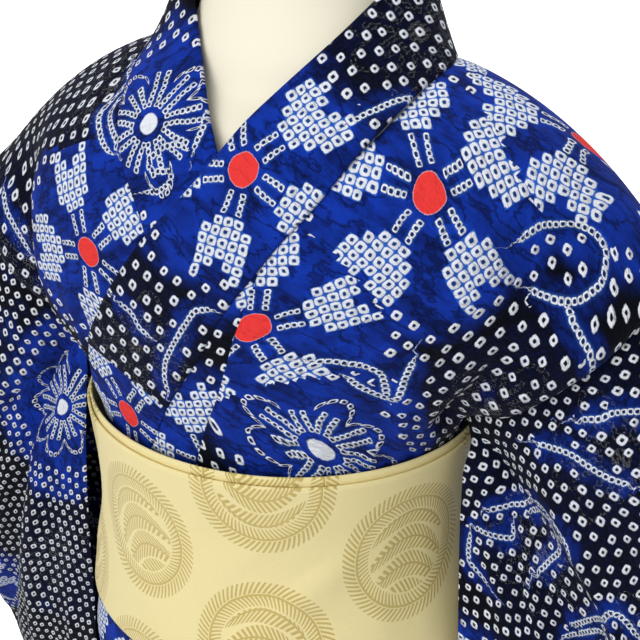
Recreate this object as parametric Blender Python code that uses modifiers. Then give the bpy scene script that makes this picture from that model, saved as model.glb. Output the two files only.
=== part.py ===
"""Cotton yukata robe with its half-width obi, worn left over right on a plain dress form.

The wearer faces -Y, the wearer's left is +X and the floor is z = 0, in metres.
Every cloth piece is an open grid of points on one of three base surfaces (the torso, the
waist and skirt, the sleeve), moved out by its layer and given its wall by Solidify.
"""
import math

import bmesh
import bpy
import numpy as np

# Cloth and seams
COTTON = 0.0015
COLLAR_CLOTH = 0.0025
OBI_CLOTH = 0.0022
SEAM = 0.0003
OVER_LAYER = 0.0042
OVER_COLLAR_LIFT = 0.0046
SEWN_SEAM_U = 0.0011
STANDING_SEAM_U = 0.0090
STANDING_SEAM_TAU = 0.0125

# Torso surface: the two body strips lie on it, from the front waist over the shoulder to the back.
# tau runs from the front (-1 is the obi's top edge) over the shoulder ridge (0) to the back (+1).
# mid is the centre line and arm the armhole seam; fall is the power of the slope from mid to arm.
TORSO_ROWS = (
    # tau, mid_y, mid_z, arm_x, arm_y, arm_z, fall
    (-1.40, -.1090, 1.020, .1262, -.002, 1.020, 1.0),
    (-1.00, -.1115, 1.108, .1285, -.004, 1.108, 1.0),
    (-0.80, -.1170, 1.162, .1400, -.028, 1.134, 2.0),
    (-0.60, -.1175, 1.215, .1660, -.044, 1.158, 2.2),
    (-0.40, -.1070, 1.266, .1960, -.048, 1.185, 2.4),
    (-0.20, -.0800, 1.320, .2260, -.034, 1.213, 2.6),
    (0.00, -.0050, 1.357, .2480, .000, 1.238, 2.6),
    (0.20, .0600, 1.335, .2400, .034, 1.216, 2.6),
    (0.40, .0950, 1.280, .2150, .052, 1.185, 2.4),
    (0.60, .1100, 1.225, .1850, .054, 1.155, 2.2),
    (0.80, .1130, 1.165, .1450, .034, 1.132, 2.0),
    (1.00, .1075, 1.108, .1295, .010, 1.108, 1.0),
    (1.40, .1070, 1.020, .1262, .002, 1.020, 1.0),
)
# The waist stands a little to the wearer's right of the neck.
LEAN_ROWS = (
    # z, x
    (0.05, .0), (0.60, -.0030), (0.80, -.0080), (0.96, -.0130), (1.11, -.0135), (1.17, -.0095),
    (1.23, -.0035), (1.29, .0), (1.45, .0),
)
# Large folds of the worn strips, the same on both sides: troughs are negative.
# A fold runs from (u0, tau0) to (u1, tau1); U_SPAN and TAU_SPAN turn u and tau into metres.
U_SPAN = 0.22
TAU_SPAN = 0.26
TORSO_FOLDS = (
    # u0, tau0, u1, tau1, depth, width
    (.62, -.22, .86, -.74, -.0160, .020),
    (.86, -.10, .95, -.55, .0060, .020),
    (.70, .30, .88, .78, -.0120, .022),
)

# Rows of points along the strips; the pieces sewn to them take the same rows.
STRIP_TAUS = (
    -1.40, -1.24, -1.08, -.96, -.86, -.78, -.70, -.62, -.55, -.485, -.42, -.35, -.28, -.22, -.16,
    -.11, -.06, 0, .06, .11, .16, .205, .24, .265, .282, .294, .30, .34, .42, .50, .60, .70, .78,
    .86, .96, 1.08, 1.24, 1.40,
)
NAPE_TAU = 0.30

# Collar seam on the strips: how far in from the armhole each strip starts, and the overlap seam.
# Past the nape the strip starts at the centre back seam.
COLLAR_SEAM = (
    # tau, u
    (-1.40, -.430), (-1.04, -.195), (-.88, -.095), (-.71, .022), (-.59, .074), (-.485, .124),
    (-.41, .156), (-.31, .203), (-.20, .235), (-.09, .254), (0, .262), (.06, .248),
    (.12, .218), (.18, .172), (.24, .112), (.282, .050), (.30, .0),
)
OVERLAP_SEAM = (
    # tau, u
    (-1.40, -.090), (-.89, .046), (-.80, .084), (-.734, .098), (-.626, .113), (-.569, .123),
    (-.485, .133),
)
OVERLAP_TIP_TAU = -.485

# Collar band: its inner edge on the torso, and how far that edge stands off it at the neck.
# tau_out is the row of the collar seam that each station starts from, up to the nape.
BAND_STATIONS = (
    # tau_out, tau_in, u_in, lift_y, lift_z
    (-1.400, -1.180, -.740, .000, .000),
    (-1.040, -.900, -.505, .000, .000),
    (-.880, -.746, -.400, .000, .000),
    (-.710, -.620, -.276, .000, .000),
    (-.592, -.518, -.184, .000, .000),
    (-.450, -.392, -.078, .000, .000),
    (-.312, -.286, -.001, .000, .000),
    (-.190, -.172, .068, .000, .006),
    (-.090, -.078, .140, .000, .024),
    (.000, -.012, .192, .000, .047),
    (.100, .103, .172, .000, .054),
    (.200, .215, .114, .004, .060),
    (.265, .270, .051, .013, .061),
    (.300, .298, .000, .013, .062),
)
OVER_COLLAR_END_TAU = -.86

# Sleeve: a flat bag 0.33 m wide and 0.49 m deep, sewn to the strip's edge for |tau| < ARMHOLE_TAU.
# around is 0 at the ridge and 1 at the bottom fold, for the front; the back mirrors it in y.
ARMHOLE_TAU = 0.78
ARMHOLE_AROUND = 0.36
ARMHOLE_ROWS = (0, .06, .11, .16, .22, .28, .35, .42, .50, .60, .70, .78)
SLEEVE_HANG_STEPS = (.40, .46, .53, .60, .68, .76, .84, .92)
SLEEVE_STATIONS = (0, .07, .18, .31, .45, .59, .73, .86, .95, 1.0)
BODY_EDGE = (
    # around, x, half_gap, z
    (0.36, .1560, .0310, 1.134),
    (0.40, .1590, .0340, 1.112),
    (0.50, .1630, .0400, 1.050),
    (0.72, .1700, .0440, .915),
    (0.92, .1830, .0300, .780),
    (1.00, .1860, .0010, .742),
)
CUFF_EDGE = (
    # around, x, y, half_gap, z
    (0.00, .4700, .0400, .0010, 1.000),
    (0.10, .4700, .0480, .0140, .966),
    (0.28, .4690, .0700, .0200, .888),
    (0.46, .4670, .0960, .0110, .800),
    (0.52, .4665, .1050, .0050, .772),
    (0.80, .4600, .1350, .0000, .694),
    (1.00, .4420, .1400, .0000, .664),
)
CUFF_OPEN_AROUND = 0.51
SLEEVE_SWING_POWER = 1.4
SLEEVE_SAG = 0.010
SLEEVE_BELLY = 0.034
SLEEVE_WIDTH = 0.33
SLEEVE_DROP = 0.49
# Sleeve folds, in metres along the sleeve and down from its ridge; ridges are positive.
SLEEVE_FRONT_FOLDS = (
    # s0, w0, s1, w1, depth, width
    (.020, .170, .200, .400, -.0200, .020),
    (.015, .120, .260, .280, .0200, .022),
    (.100, .440, .060, .230, .0160, .020),
    (.200, .090, .320, .200, -.0110, .018),
    (.250, .470, .220, .300, -.0150, .018),
)
SLEEVE_BACK_FOLDS = (
    (.030, .160, .220, .390, -.0180, .022),
    (.020, .110, .240, .250, .0140, .020),
    (.120, .450, .090, .250, .0150, .020),
)

# Waist and skirt rings: half width, front and back depth.
SKIRT_ROWS = (
    # z, half_width, front, back
    (0.050, .1500, .1320, .1280),
    (0.300, .1570, .1330, .1310),
    (0.550, .1620, .1320, .1330),
    (0.760, .1610, .1280, .1310),
    (0.880, .1500, .1210, .1230),
    (0.960, .1360, .1130, .1120),
    (1.018, .1262, .1090, .1070),
    (1.140, .1325, .1150, .1090),
)
SKIRT_TOP = 1.0190
HEM = 0.050
SIDE_SEAM = 64.0
HALF_SEAM_ANGLE = 0.062
OVERLAP_SEAM_ANGLE = 29.0
OVERLAP_EDGE_ANGLE = 87.0
BACK_UNDERLAP_END = 92.0
BACK_LAYER_END = 128.0
SKIRT_PLEATS = 5
SKIRT_PLEAT_DEPTH = 0.0030

# Waist fold and obi: rows of height and lift off the waist surface, all on the same columns
RING_COLUMNS = 44
FOLD_CLOTH = 0.003
FOLD_ROWS = (
    # z, lift
    (0.885, .0068), (0.905, .0100), (0.945, .0085), (0.985, .0070), (1.000, .0068),
)
OBI_TILT = 0.010
OBI_STEP = 0.006
OBI_WRAP_GAP = 0.0005
OBI_ROWS = (
    # z, lift, how much less at the wearer's left, where no collar end lies under it
    (0.952, .0124, .0000), (0.985, .0119, .0000), (1.020, .0102, .0010), (1.065, .0100, .0022),
    (1.110, .0112, .0037),
)
KNOT_LEAVES = (
    # name, ring columns each side, bottom, height, thickness
    ("obi_knot_under_leaf", 5, .952, .150, .0075),
    ("obi_knot_upper_leaf", 4, .958, .138, .0075),
    ("obi_knot_band", 2, .948, .156, .0040),
)

# Dress form and stand
FORM_EDGE_U = 0.46
FORM_CLEARANCE_SHOULDER = 0.0012
FORM_CLEARANCE_CHEST = 0.0150
FORM_BOTTOM = 0.800
FORM_LOWER_ROWS = (
    # z, share of the skirt ring
    (0.800, .800),
    (0.840, .880),
    (0.900, .900),
    (0.970, .905),
    (1.050, .900),
)
NECK_COLUMNS = 28
NECK_CENTRE_Y = 0.005
NECK_ROWS = (
    # z, half_width, half_depth
    (1.310, .0980, .0700),
    (1.345, .0830, .0650),
    (1.362, .0700, .0590),
    (1.380, .0630, .0550),
    (1.400, .0600, .0540),
    (1.440, .0590, .0540),
)
POLE_RADIUS = 0.016
BASE_RADIUS = 0.170
BASE_THICKNESS = 0.020
BASE_BEVEL = 0.004

COLOURS = {
    "indigo": ((0.010, 0.030, 0.330, 1.0), 0.80, 0.0),
    "obi": ((0.800, 0.740, 0.480, 1.0), 0.60, 0.0),
    "form": ((0.830, 0.760, 0.500, 1.0), 0.55, 0.0),
    "steel": ((0.550, 0.550, 0.560, 1.0), 0.35, 1.0),
    "base": ((0.780, 0.770, 0.740, 1.0), 0.40, 0.0),
}


def spline(rows, at):
    """Hermite curve through the rows; the first column is the parameter."""
    rows = np.asarray(rows, float)
    x, y = rows[:, 0], rows[:, 1:]
    span = np.diff(x)
    slope = np.diff(y, axis=0) / span[:, None]
    tangent = np.zeros_like(y)
    tangent[1:-1] = slope[:-1] * span[1:, None] + slope[1:] * span[:-1, None]
    tangent[1:-1] /= (span[:-1] + span[1:])[:, None]
    tangent[0], tangent[-1] = slope[0], slope[-1]
    at = np.clip(np.asarray(at, float), x[0], x[-1])
    k = np.clip(np.searchsorted(x, at, side="right") - 1, 0, len(x) - 2)
    h = span[k][..., None]
    s = ((at - x[k]) / span[k])[..., None]
    return ((2 * s**3 - 3 * s**2 + 1) * y[k] + (s**3 - 2 * s**2 + s) * h * tangent[k]
            + (-2 * s**3 + 3 * s**2) * y[k + 1] + (s**3 - s**2) * h * tangent[k + 1])


def smooth(x, start, end):
    """Smooth step from 0 at start to 1 at end."""
    s = np.clip((np.asarray(x, float) - start) / (end - start), 0, 1)
    return s * s * (3 - 2 * s)


def fold_relief(a, b, folds):
    """Height of soft ridges and troughs, each along a line from (a0, b0) to (a1, b1)."""
    height = np.zeros(np.broadcast(a, b).shape)
    for a0, b0, a1, b1, depth, width in folds:
        run_a, run_b = a1 - a0, b1 - b0
        along = ((a - a0) * run_a + (b - b0) * run_b) / (run_a**2 + run_b**2)
        along = np.clip(along, 0, 1)
        away = np.hypot(a - a0 - along * run_a, b - b0 - along * run_b)
        height = height + depth * np.exp(-(away / width)**2)
    return height


def leaned(point):
    """Points with the sideways lean of their height."""
    point[..., 0] += spline(LEAN_ROWS, point[..., 2])[..., 0]
    return point


def torso_base(u, tau):
    """Torso surface without its folds; u is -1 and 1 at the armhole seams."""
    u, tau = np.broadcast_arrays(np.asarray(u, float), np.asarray(tau, float))
    mid_y, mid_z, arm_x, arm_y, arm_z, fall = np.moveaxis(spline(TORSO_ROWS, tau), -1, 0)
    sine, cosine = np.sin(np.abs(u) * math.pi / 2), np.cos(u * math.pi / 2)
    return leaned(np.stack([np.sign(u) * arm_x * sine, arm_y + (mid_y - arm_y) * cosine,
                            mid_z + (arm_z - mid_z) * sine**fall], -1))


def torso(u, tau, out=0.0, folds=True):
    """Point on the torso surface, moved out along its normal."""
    u, tau = np.broadcast_arrays(np.asarray(u, float), np.asarray(tau, float))
    step = 0.01
    across = torso_base(u + step, tau) - torso_base(u - step, tau)
    over = torso_base(u, tau + step) - torso_base(u, tau - step)
    normal = np.cross(across, over)
    normal /= np.linalg.norm(normal, axis=-1, keepdims=True)
    relief = 0.0
    if folds:
        lines = [(U_SPAN * u0, TAU_SPAN * t0, U_SPAN * u1, TAU_SPAN * t1, depth, width)
                 for u0, t0, u1, t1, depth, width in TORSO_FOLDS]
        relief = fold_relief(U_SPAN * np.abs(u), TAU_SPAN * tau, lines)
    return torso_base(u, tau) + normal * np.broadcast_to(out + relief, u.shape)[..., None]


def waist(angle, z, out=0.0):
    """Point on the waist and skirt surface; angle is 0 in front and 90 at the wearer's left."""
    angle, z = np.broadcast_arrays(np.radians(angle), np.asarray(z, float))
    half_width, front, back = np.moveaxis(spline(SKIRT_ROWS, z), -1, 0)
    depth = np.where(np.cos(angle) > 0, front, back)
    return leaned(np.stack([(half_width + out) * np.sin(angle), -(depth + out) * np.cos(angle), z],
                           -1))


def sheet(name, grid, colour, wall, close_rows=False):
    """One cloth piece: a grid of points [row][column] as an open mesh, with its wall outside."""
    mesh = bpy.data.meshes.new(name)
    bm = bmesh.new()
    rows = [[bm.verts.new(point) for point in row] for row in grid]
    columns = len(rows[0])
    last = columns if close_rows else columns - 1
    for lower, upper in zip(rows, rows[1:]):
        for j in range(last):
            k = (j + 1) % columns
            bm.faces.new((lower[j], lower[k], upper[k], upper[j]))
    bmesh.ops.remove_doubles(bm, verts=bm.verts, dist=0.00001)
    bm.to_mesh(mesh)
    bm.free()
    mesh.shade_smooth()
    piece = add_object(name, mesh, colour)
    solid = piece.modifiers.new("wall", 'SOLIDIFY')
    solid.thickness = wall
    solid.offset = 1.0
    return piece


def add_object(name, mesh, colour):
    """Object with its own Principled material, in the garment's collection."""
    piece = bpy.data.objects.new(name, mesh)
    bpy.data.collections["yukata_robe"].objects.link(piece)
    base, roughness, metallic = COLOURS[colour]
    material = bpy.data.materials.new(name)
    material.use_nodes = True
    shader = material.node_tree.nodes["Principled BSDF"]
    shader.inputs["Base Color"].default_value = base
    shader.inputs["Roughness"].default_value = roughness
    shader.inputs["Metallic"].default_value = metallic
    mesh.materials.append(material)
    return piece


def over_level(tau, side):
    """The left front lies over the right one, and comes down to its level at the shoulder."""
    return OVER_LAYER * float(1 - smooth(tau, -0.30, -0.08)) if side > 0 else 0.0


def collar_seam(tau):
    """Where the collar is sewn on, in u."""
    return float(spline(COLLAR_SEAM, tau)[0])


def strip_start(tau):
    """Where a body strip begins at this height: its overlap, collar or centre back seam.

    Round the neck the collar stands up from the strip, so its own thickness is left free.
    """
    if tau <= OVERLAP_TIP_TAU:
        return float(spline(OVERLAP_SEAM, tau)[0]) + SEWN_SEAM_U
    if tau <= NAPE_TAU:
        standing = float(smooth(tau, -.32, -.14))
        seam = collar_seam(tau - STANDING_SEAM_TAU * float(smooth(tau, .05, .20)))
        return seam + SEWN_SEAM_U + (STANDING_SEAM_U - SEWN_SEAM_U) * standing
    return SEWN_SEAM_U


def facing_out(side, rows):
    """Rows of a piece on the wearer's right are turned round, so that its wall lies outside."""
    return rows if side > 0 else [row[::-1] for row in rows]


def body_strip(side):
    """Front and back of one side in one strip, open along the sleeve and under the arm."""
    grid = []
    for tau in STRIP_TAUS:
        edge = strip_start(tau)
        u = edge + (1.0 - edge) * np.linspace(0, 1, 11)
        grid.append(torso(side * u, tau, over_level(tau, side)))
    name = "body_left" if side > 0 else "body_right"
    return sheet(name, facing_out(side, grid), "indigo", COTTON)


def overlap_panel(side):
    """Upper part of the narrow front panel between the collar and the body strip."""
    grid = []
    for tau in STRIP_TAUS:
        if tau > OVERLAP_TIP_TAU:
            break
        start = collar_seam(tau) + SEWN_SEAM_U
        end = float(spline(OVERLAP_SEAM, tau)[0])
        u = start + (end - start) * np.linspace(0, 1, 4)
        grid.append(torso(side * u, tau, over_level(tau, side)))
    name = "overlap_left" if side > 0 else "overlap_right"
    return sheet(name, facing_out(side, grid), "indigo", COTTON)


def band_row(tau_out, side):
    """Cross row of the collar band, from its inner edge to its outer seam."""
    tau_in, u_in, lift_y, lift_z = spline(BAND_STATIONS, tau_out)
    w = np.linspace(1, 0, 6)
    u_out = collar_seam(tau_out)
    lift = OVER_COLLAR_LIFT * float(1 - smooth(tau_out, -.26, -.09)) if side > 0 else 0.0
    row = torso(side * (u_out + (u_in - u_out) * w), tau_out + (tau_in - tau_out) * w, lift,
                folds=False)
    row[:, 1] += lift_y * w**1.2
    row[:, 2] += lift_z * w**1.2
    return row


def collar():
    """Over collar in one piece round the neck, and the main collar's two ends below it."""
    neck = [tau for tau in STRIP_TAUS if OVER_COLLAR_END_TAU <= tau <= NAPE_TAU]
    left = [band_row(tau, 1) for tau in neck]
    right = [band_row(tau, -1) for tau in neck]
    sheet("over_collar", left + right[-2::-1], "indigo", COLLAR_CLOTH)
    low = [tau for tau in STRIP_TAUS if tau < OVER_COLLAR_END_TAU]
    low.append(OVER_COLLAR_END_TAU - SEAM / TAU_SPAN)
    for side, name in ((1, "collar_left_end"), (-1, "collar_right_end")):
        sheet(name, facing_out(side, [band_row(tau, side) for tau in low]), "indigo", COLLAR_CLOTH)


def sleeve_point(side, s, around, front):
    """Point of a sleeve: s is 0 at the armhole and 1 at the cuff."""
    sign = -1.0 if front else 1.0
    if around <= ARMHOLE_AROUND:
        tau = sign * ARMHOLE_TAU * around / ARMHOLE_AROUND
        start = torso(side, tau, over_level(tau, side) + COTTON + 1.5 * SEAM)
    else:
        x, gap, z = spline(BODY_EDGE, around)
        start = leaned(np.array([side * x, sign * gap, z]))
    x, swing, gap, z = spline(CUFF_EDGE, around)
    cuff = np.array([side * x, sign * gap if around < CUFF_OPEN_AROUND else 0.0, z])
    point = start + (cuff - start) * s
    envelope = math.sin(math.pi * around) ** 0.8 * math.sin(math.pi * s) ** 0.9 if around < 1 else 0
    folds = SLEEVE_FRONT_FOLDS if front else SLEEVE_BACK_FOLDS
    relief = float(fold_relief(np.float64(s * SLEEVE_WIDTH), around * SLEEVE_DROP, folds))
    point[1] += sign * envelope * (SLEEVE_BELLY + relief)
    point[1] += swing * s**SLEEVE_SWING_POWER
    point[2] -= SLEEVE_SAG * math.sin(math.pi * s) * around
    return point


def sleeve(side):
    """Flat bag with its edge open towards the body, and its cuff open above a closed seam."""
    steps = [tau / ARMHOLE_TAU * ARMHOLE_AROUND for tau in ARMHOLE_ROWS] + list(SLEEVE_HANG_STEPS)
    grid = []
    for s in SLEEVE_STATIONS:
        front = [sleeve_point(side, s, a, True) for a in steps]
        back = [sleeve_point(side, s, a, False) for a in reversed(steps[1:])]
        bottom = sleeve_point(side, s, 1.0, True)
        bottom[1] = (front[-1][1] + back[0][1]) / 2
        ring = front + [bottom] + back
        grid.append(ring[::-1] if side > 0 else ring)
    name = "sleeve_left" if side > 0 else "sleeve_right"
    return sheet(name, grid, "indigo", COTTON, close_rows=True)


def skirt_panel(name, start, end, level, top=SKIRT_TOP, columns=9):
    """Skirt piece between two angles; level(angle) is its layer over the base surface."""
    grid = []
    for z in (HEM, .16, .29, .42, .55, .67, .77, .85, .92, .97, top):
        angle = np.linspace(start + HALF_SEAM_ANGLE, end - HALF_SEAM_ANGLE, columns)
        calm = 1 - smooth(z, .55, .95)
        out = level(angle)
        out = out + SKIRT_PLEAT_DEPTH * (1 + np.cos(np.radians(angle) * SKIRT_PLEATS)) * calm
        grid.append(waist(angle, z, out))
    return sheet(name, grid, "indigo", COTTON)


def skirt():
    """Two backs, two fronts and two overlap panels, wrapped left over right."""
    def under(angle):
        return np.zeros(np.shape(angle))

    def over(angle):
        return np.full(np.shape(angle), OVER_LAYER)

    def left_back(angle):
        return OVER_LAYER * (1 - smooth(angle, BACK_UNDERLAP_END, BACK_LAYER_END))

    skirt_panel("skirt_back_right", -180, -SIDE_SEAM, under, columns=12)
    skirt_panel("skirt_front_right", -SIDE_SEAM, OVERLAP_SEAM_ANGLE, under, columns=10)
    skirt_panel("skirt_overlap_right", OVERLAP_SEAM_ANGLE, OVERLAP_EDGE_ANGLE, under, columns=7)
    skirt_panel("skirt_back_left", SIDE_SEAM, 180, left_back, columns=12)
    skirt_panel("skirt_front_left", -OVERLAP_SEAM_ANGLE, SIDE_SEAM, over, columns=10)
    skirt_panel("skirt_overlap_left", -OVERLAP_EDGE_ANGLE, -OVERLAP_SEAM_ANGLE, over, columns=7)


def waist_row(angle, z, out, tilt):
    """Row of a band round the waist, a little higher on the wearer's left where it is tilted."""
    level = waist(angle, z, out)
    return waist(angle, level[:, 2] + tilt * level[:, 0], out)


def ring(name, colour, rows, wall, tilt):
    """Closed band round the waist; a row is its height and its distances from the waist."""
    grid = [waist_row(ring_angles(), z, out, tilt) for z, out in rows]
    return sheet(name, grid, colour, wall, close_rows=True)


def ring_angles():
    """Directions of the columns that every band round the waist shares."""
    return np.linspace(0, 360, RING_COLUMNS, endpoint=False)


def obi_out(angle, z, layer):
    """How far a layer of the obi stands off the waist surface."""
    heights, lifts, trims = np.array(OBI_ROWS).T
    side = np.clip(np.sin(np.radians(angle)), 0, 1)**2
    return np.interp(z, heights, lifts) - np.interp(z, heights, trims) * side + layer


def obi():
    """Two wraps of the folded obi, with the upper edge of the outer one a little lower."""
    heights = [row[0] for row in OBI_ROWS]
    angle = ring_angles()
    ring("obi_inner_wrap", "obi", [(z, obi_out(angle, z, 0.0)) for z in heights], OBI_CLOTH, OBI_TILT)
    heights = [heights[0] - OBI_STEP, *heights[1:-1], heights[-1] - OBI_STEP]
    wrap = OBI_CLOTH + OBI_WRAP_GAP
    ring("obi_outer_wrap", "obi", [(z, obi_out(angle, z, wrap)) for z in heights], OBI_CLOTH,
         OBI_TILT)


def knot():
    """Flat tie at the back: two folded leaves and the band that holds them."""
    under = 2 * (OBI_CLOTH + OBI_WRAP_GAP)
    for name, columns, bottom, height, thickness in KNOT_LEAVES:
        half_angle = columns * 360 / RING_COLUMNS
        angle = np.linspace(180 - half_angle, 180 + half_angle, 2 * columns + 1)
        heights = [bottom, *(row[0] for row in OBI_ROWS[1:-1]), bottom + height]
        grid = [waist_row(angle, z, obi_out(angle, z, under), OBI_TILT) for z in heights]
        sheet(name, grid, "obi", thickness)
        under += thickness + OBI_WRAP_GAP


def form_ring(tau):
    """Closed section of the dress form at a height of the torso: front, side, back, side."""
    clear = FORM_CLEARANCE_CHEST + (FORM_CLEARANCE_SHOULDER - FORM_CLEARANCE_CHEST) \
        * smooth(tau, -.60, -.04)
    u = np.linspace(-FORM_EDGE_U, FORM_EDGE_U, 13)
    front = torso(u, tau, np.full(u.shape, -clear), folds=False)
    back = torso(u[::-1], -tau, np.full(u.shape, -clear), folds=False)
    left_side = form_side(front[-1], back[0], 1)
    right_side = form_side(back[-1], front[0], -1)
    return list(front) + left_side + list(back) + right_side


def form_side(start, end, side):
    """Rounded side of a section, between the edges of its front and back."""
    points = []
    for share in (.25, .5, .75):
        point = start + (end - start) * share
        point[0] += side * 0.15 * math.sin(math.pi * share) * abs(end[1] - start[1])
        points.append(point)
    return points


def form():
    """Limbless dress form: smooth torso under the cloth, plain neck, pole and base."""
    rings = []
    count = len(form_ring(-1.0))
    for z, share in FORM_LOWER_ROWS:
        top = np.array(form_ring(-1.0))
        angle = np.degrees(np.arctan2(top[:, 0], -top[:, 1]))
        base = waist(angle, z, 0.0)
        rings.append(base * np.array([share, share, 1.0]))
    for tau in (-1.0, -.88, -.76, -.64, -.52, -.40, -.30, -.21, -.13, -.06):
        rings.append(np.array(form_ring(tau)))
    mesh = bpy.data.meshes.new("dress_form")
    bm = bmesh.new()
    rows = [[bm.verts.new(point) for point in row] for row in rings]
    for lower, upper in zip(rows, rows[1:]):
        for j in range(count):
            k = (j + 1) % count
            bm.faces.new((lower[j], lower[k], upper[k], upper[j]))
    bm.faces.new(rows[0][::-1])
    close_ridge(bm, rows[-1])
    bmesh.ops.recalc_face_normals(bm, faces=bm.faces)
    bm.to_mesh(mesh)
    bm.free()
    torso_form = add_object("dress_form", mesh, "form")
    neck = form_neck()
    union = torso_form.modifiers.new("neck", 'BOOLEAN')
    union.operation = 'UNION'
    union.solver = 'EXACT'
    union.object = neck
    mesh.shade_smooth()


def close_ridge(bm, top):
    """Close the shoulders: the last front points are joined across to the back ones."""
    across = 13
    front = top[:across]
    right_side = top[across:across + 3]
    back = top[across + 3:2 * across + 3][::-1]
    left_side = top[2 * across + 3:][::-1]
    for j in range(across - 1):
        bm.faces.new((front[j], front[j + 1], back[j + 1], back[j]))
    bm.faces.new((front[-1], *right_side, back[-1]))
    bm.faces.new((front[0], back[0], *left_side[::-1]))


def form_neck():
    """Neck column, joined to the torso by a union."""
    mesh = bpy.data.meshes.new("neck_cutter")
    bm = bmesh.new()
    turn = np.linspace(0, 2 * math.pi, NECK_COLUMNS, endpoint=False)
    rows = []
    for z, half_width, half_depth in NECK_ROWS:
        rows.append([bm.verts.new((half_width * math.sin(a),
                                   NECK_CENTRE_Y - half_depth * math.cos(a), z)) for a in turn])
    for lower, upper in zip(rows, rows[1:]):
        for j in range(NECK_COLUMNS):
            k = (j + 1) % NECK_COLUMNS
            bm.faces.new((lower[j], lower[k], upper[k], upper[j]))
    bm.faces.new(rows[0][::-1])
    bm.faces.new(rows[-1])
    bm.to_mesh(mesh)
    bm.free()
    neck = bpy.data.objects.new("neck_cutter", mesh)
    bpy.data.collections["cutters"].objects.link(neck)
    neck.hide_render = True
    neck.display_type = 'WIRE'
    return neck


def stand():
    """Pole up to the form's flat underside, and a round base on the floor."""
    height = FORM_BOTTOM - SEAM - BASE_THICKNESS - SEAM
    pole = cylinder("stand_pole", POLE_RADIUS, height, 24, "steel")
    pole.location = (0, 0, BASE_THICKNESS + SEAM + height / 2)
    base = cylinder("stand_base", BASE_RADIUS, BASE_THICKNESS, 48, "base")
    base.location = (0, 0, BASE_THICKNESS / 2)
    bevel = base.modifiers.new("edge", 'BEVEL')
    bevel.width = BASE_BEVEL
    bevel.segments = 2
    bevel.limit_method = 'ANGLE'


def cylinder(name, radius, depth, segments, colour):
    """Plain round bar or disc."""
    mesh = bpy.data.meshes.new(name)
    bm = bmesh.new()
    bmesh.ops.create_cone(bm, cap_ends=True, segments=segments, radius1=radius, radius2=radius,
                          depth=depth)
    bm.to_mesh(mesh)
    bm.free()
    return add_object(name, mesh, colour)


def main():
    for old in list(bpy.data.objects):
        bpy.data.objects.remove(old, do_unlink=True)
    for name in ("yukata_robe", "cutters"):
        collection = bpy.data.collections.new(name)
        bpy.context.scene.collection.children.link(collection)
    for side in (1, -1):
        body_strip(side)
        overlap_panel(side)
        sleeve(side)
    collar()
    skirt()
    ring("waist_fold", "indigo", FOLD_ROWS, FOLD_CLOTH, 0.0)
    obi()
    knot()
    form()
    stand()


main()
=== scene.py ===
"""Looks of a tie-dyed cotton yukata and its woven obi on a plain dress form.

The wearer faces -Y, the wearer's left is +X and the floor is z = 0, in metres.
Each cloth piece is a thin shell on the surface of its solid, with its creases placed one by one
and with cloth coordinates in metres that carry the dyed and the woven patterns.
"""
import math

import bpy
import numpy as np
from bpy.props import FloatProperty, FloatVectorProperty, PointerProperty
from mathutils import Matrix, Vector


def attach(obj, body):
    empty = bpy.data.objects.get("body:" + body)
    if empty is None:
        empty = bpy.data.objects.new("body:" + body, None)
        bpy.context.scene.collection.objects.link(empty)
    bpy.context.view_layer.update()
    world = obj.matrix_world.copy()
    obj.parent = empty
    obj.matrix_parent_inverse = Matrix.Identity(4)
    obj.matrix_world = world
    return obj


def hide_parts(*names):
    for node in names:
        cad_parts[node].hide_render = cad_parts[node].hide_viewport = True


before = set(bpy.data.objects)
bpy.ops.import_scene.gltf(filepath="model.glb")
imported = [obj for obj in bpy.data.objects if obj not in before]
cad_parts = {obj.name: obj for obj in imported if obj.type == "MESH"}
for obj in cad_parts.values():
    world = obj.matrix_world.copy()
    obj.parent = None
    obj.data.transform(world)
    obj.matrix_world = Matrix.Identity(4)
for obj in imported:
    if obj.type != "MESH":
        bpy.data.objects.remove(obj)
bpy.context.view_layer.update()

bl_info = {
    "name": "Shibori yukata",
    "version": (1, 0, 0),
    "blender": (4, 5, 0),
    "location": "View3D > Sidebar > Yukata",
    "description": "Builds the tie-dyed robe, its woven obi, the dress form and the stage",
    "category": "Object",
}

# Cloth, seams and layers, as in the solids
SEWN_SEAM_U = 0.0011
STANDING_SEAM_U = 0.0040
STANDING_SEAM_TAU = 0.0125
OVER_LAYER = 0.0042
OVER_COLLAR_LIFT = 0.0046
OFF_SOLID = .0003
WAIST_TAU = 1.40
SIDES = ((1, "left"), (-1, "right"))

# Grids of the shells, and the column of each one's straight thread
STRIP_COLUMNS = 54
STRIP_THREAD_U = .68
OVERLAP_COLUMNS = 20
COLLAR_COLUMNS = 18
SLEEVE_STATIONS = 76
SLEEVE_ROWS = 112
SLEEVE_THREAD = 50.0

# Flattening of the cloth coordinates
COARSE_POINTS = 40
EASE_ROUNDS = 1500
EASE_PULL = 1.2
EASE_LINKS = (
    # rows on, columns on, weight
    (0, 1, 1.0), (1, 0, 1.0), (1, 1, .6), (1, -1, .6), (0, 3, .8), (3, 0, .8),
)

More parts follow.
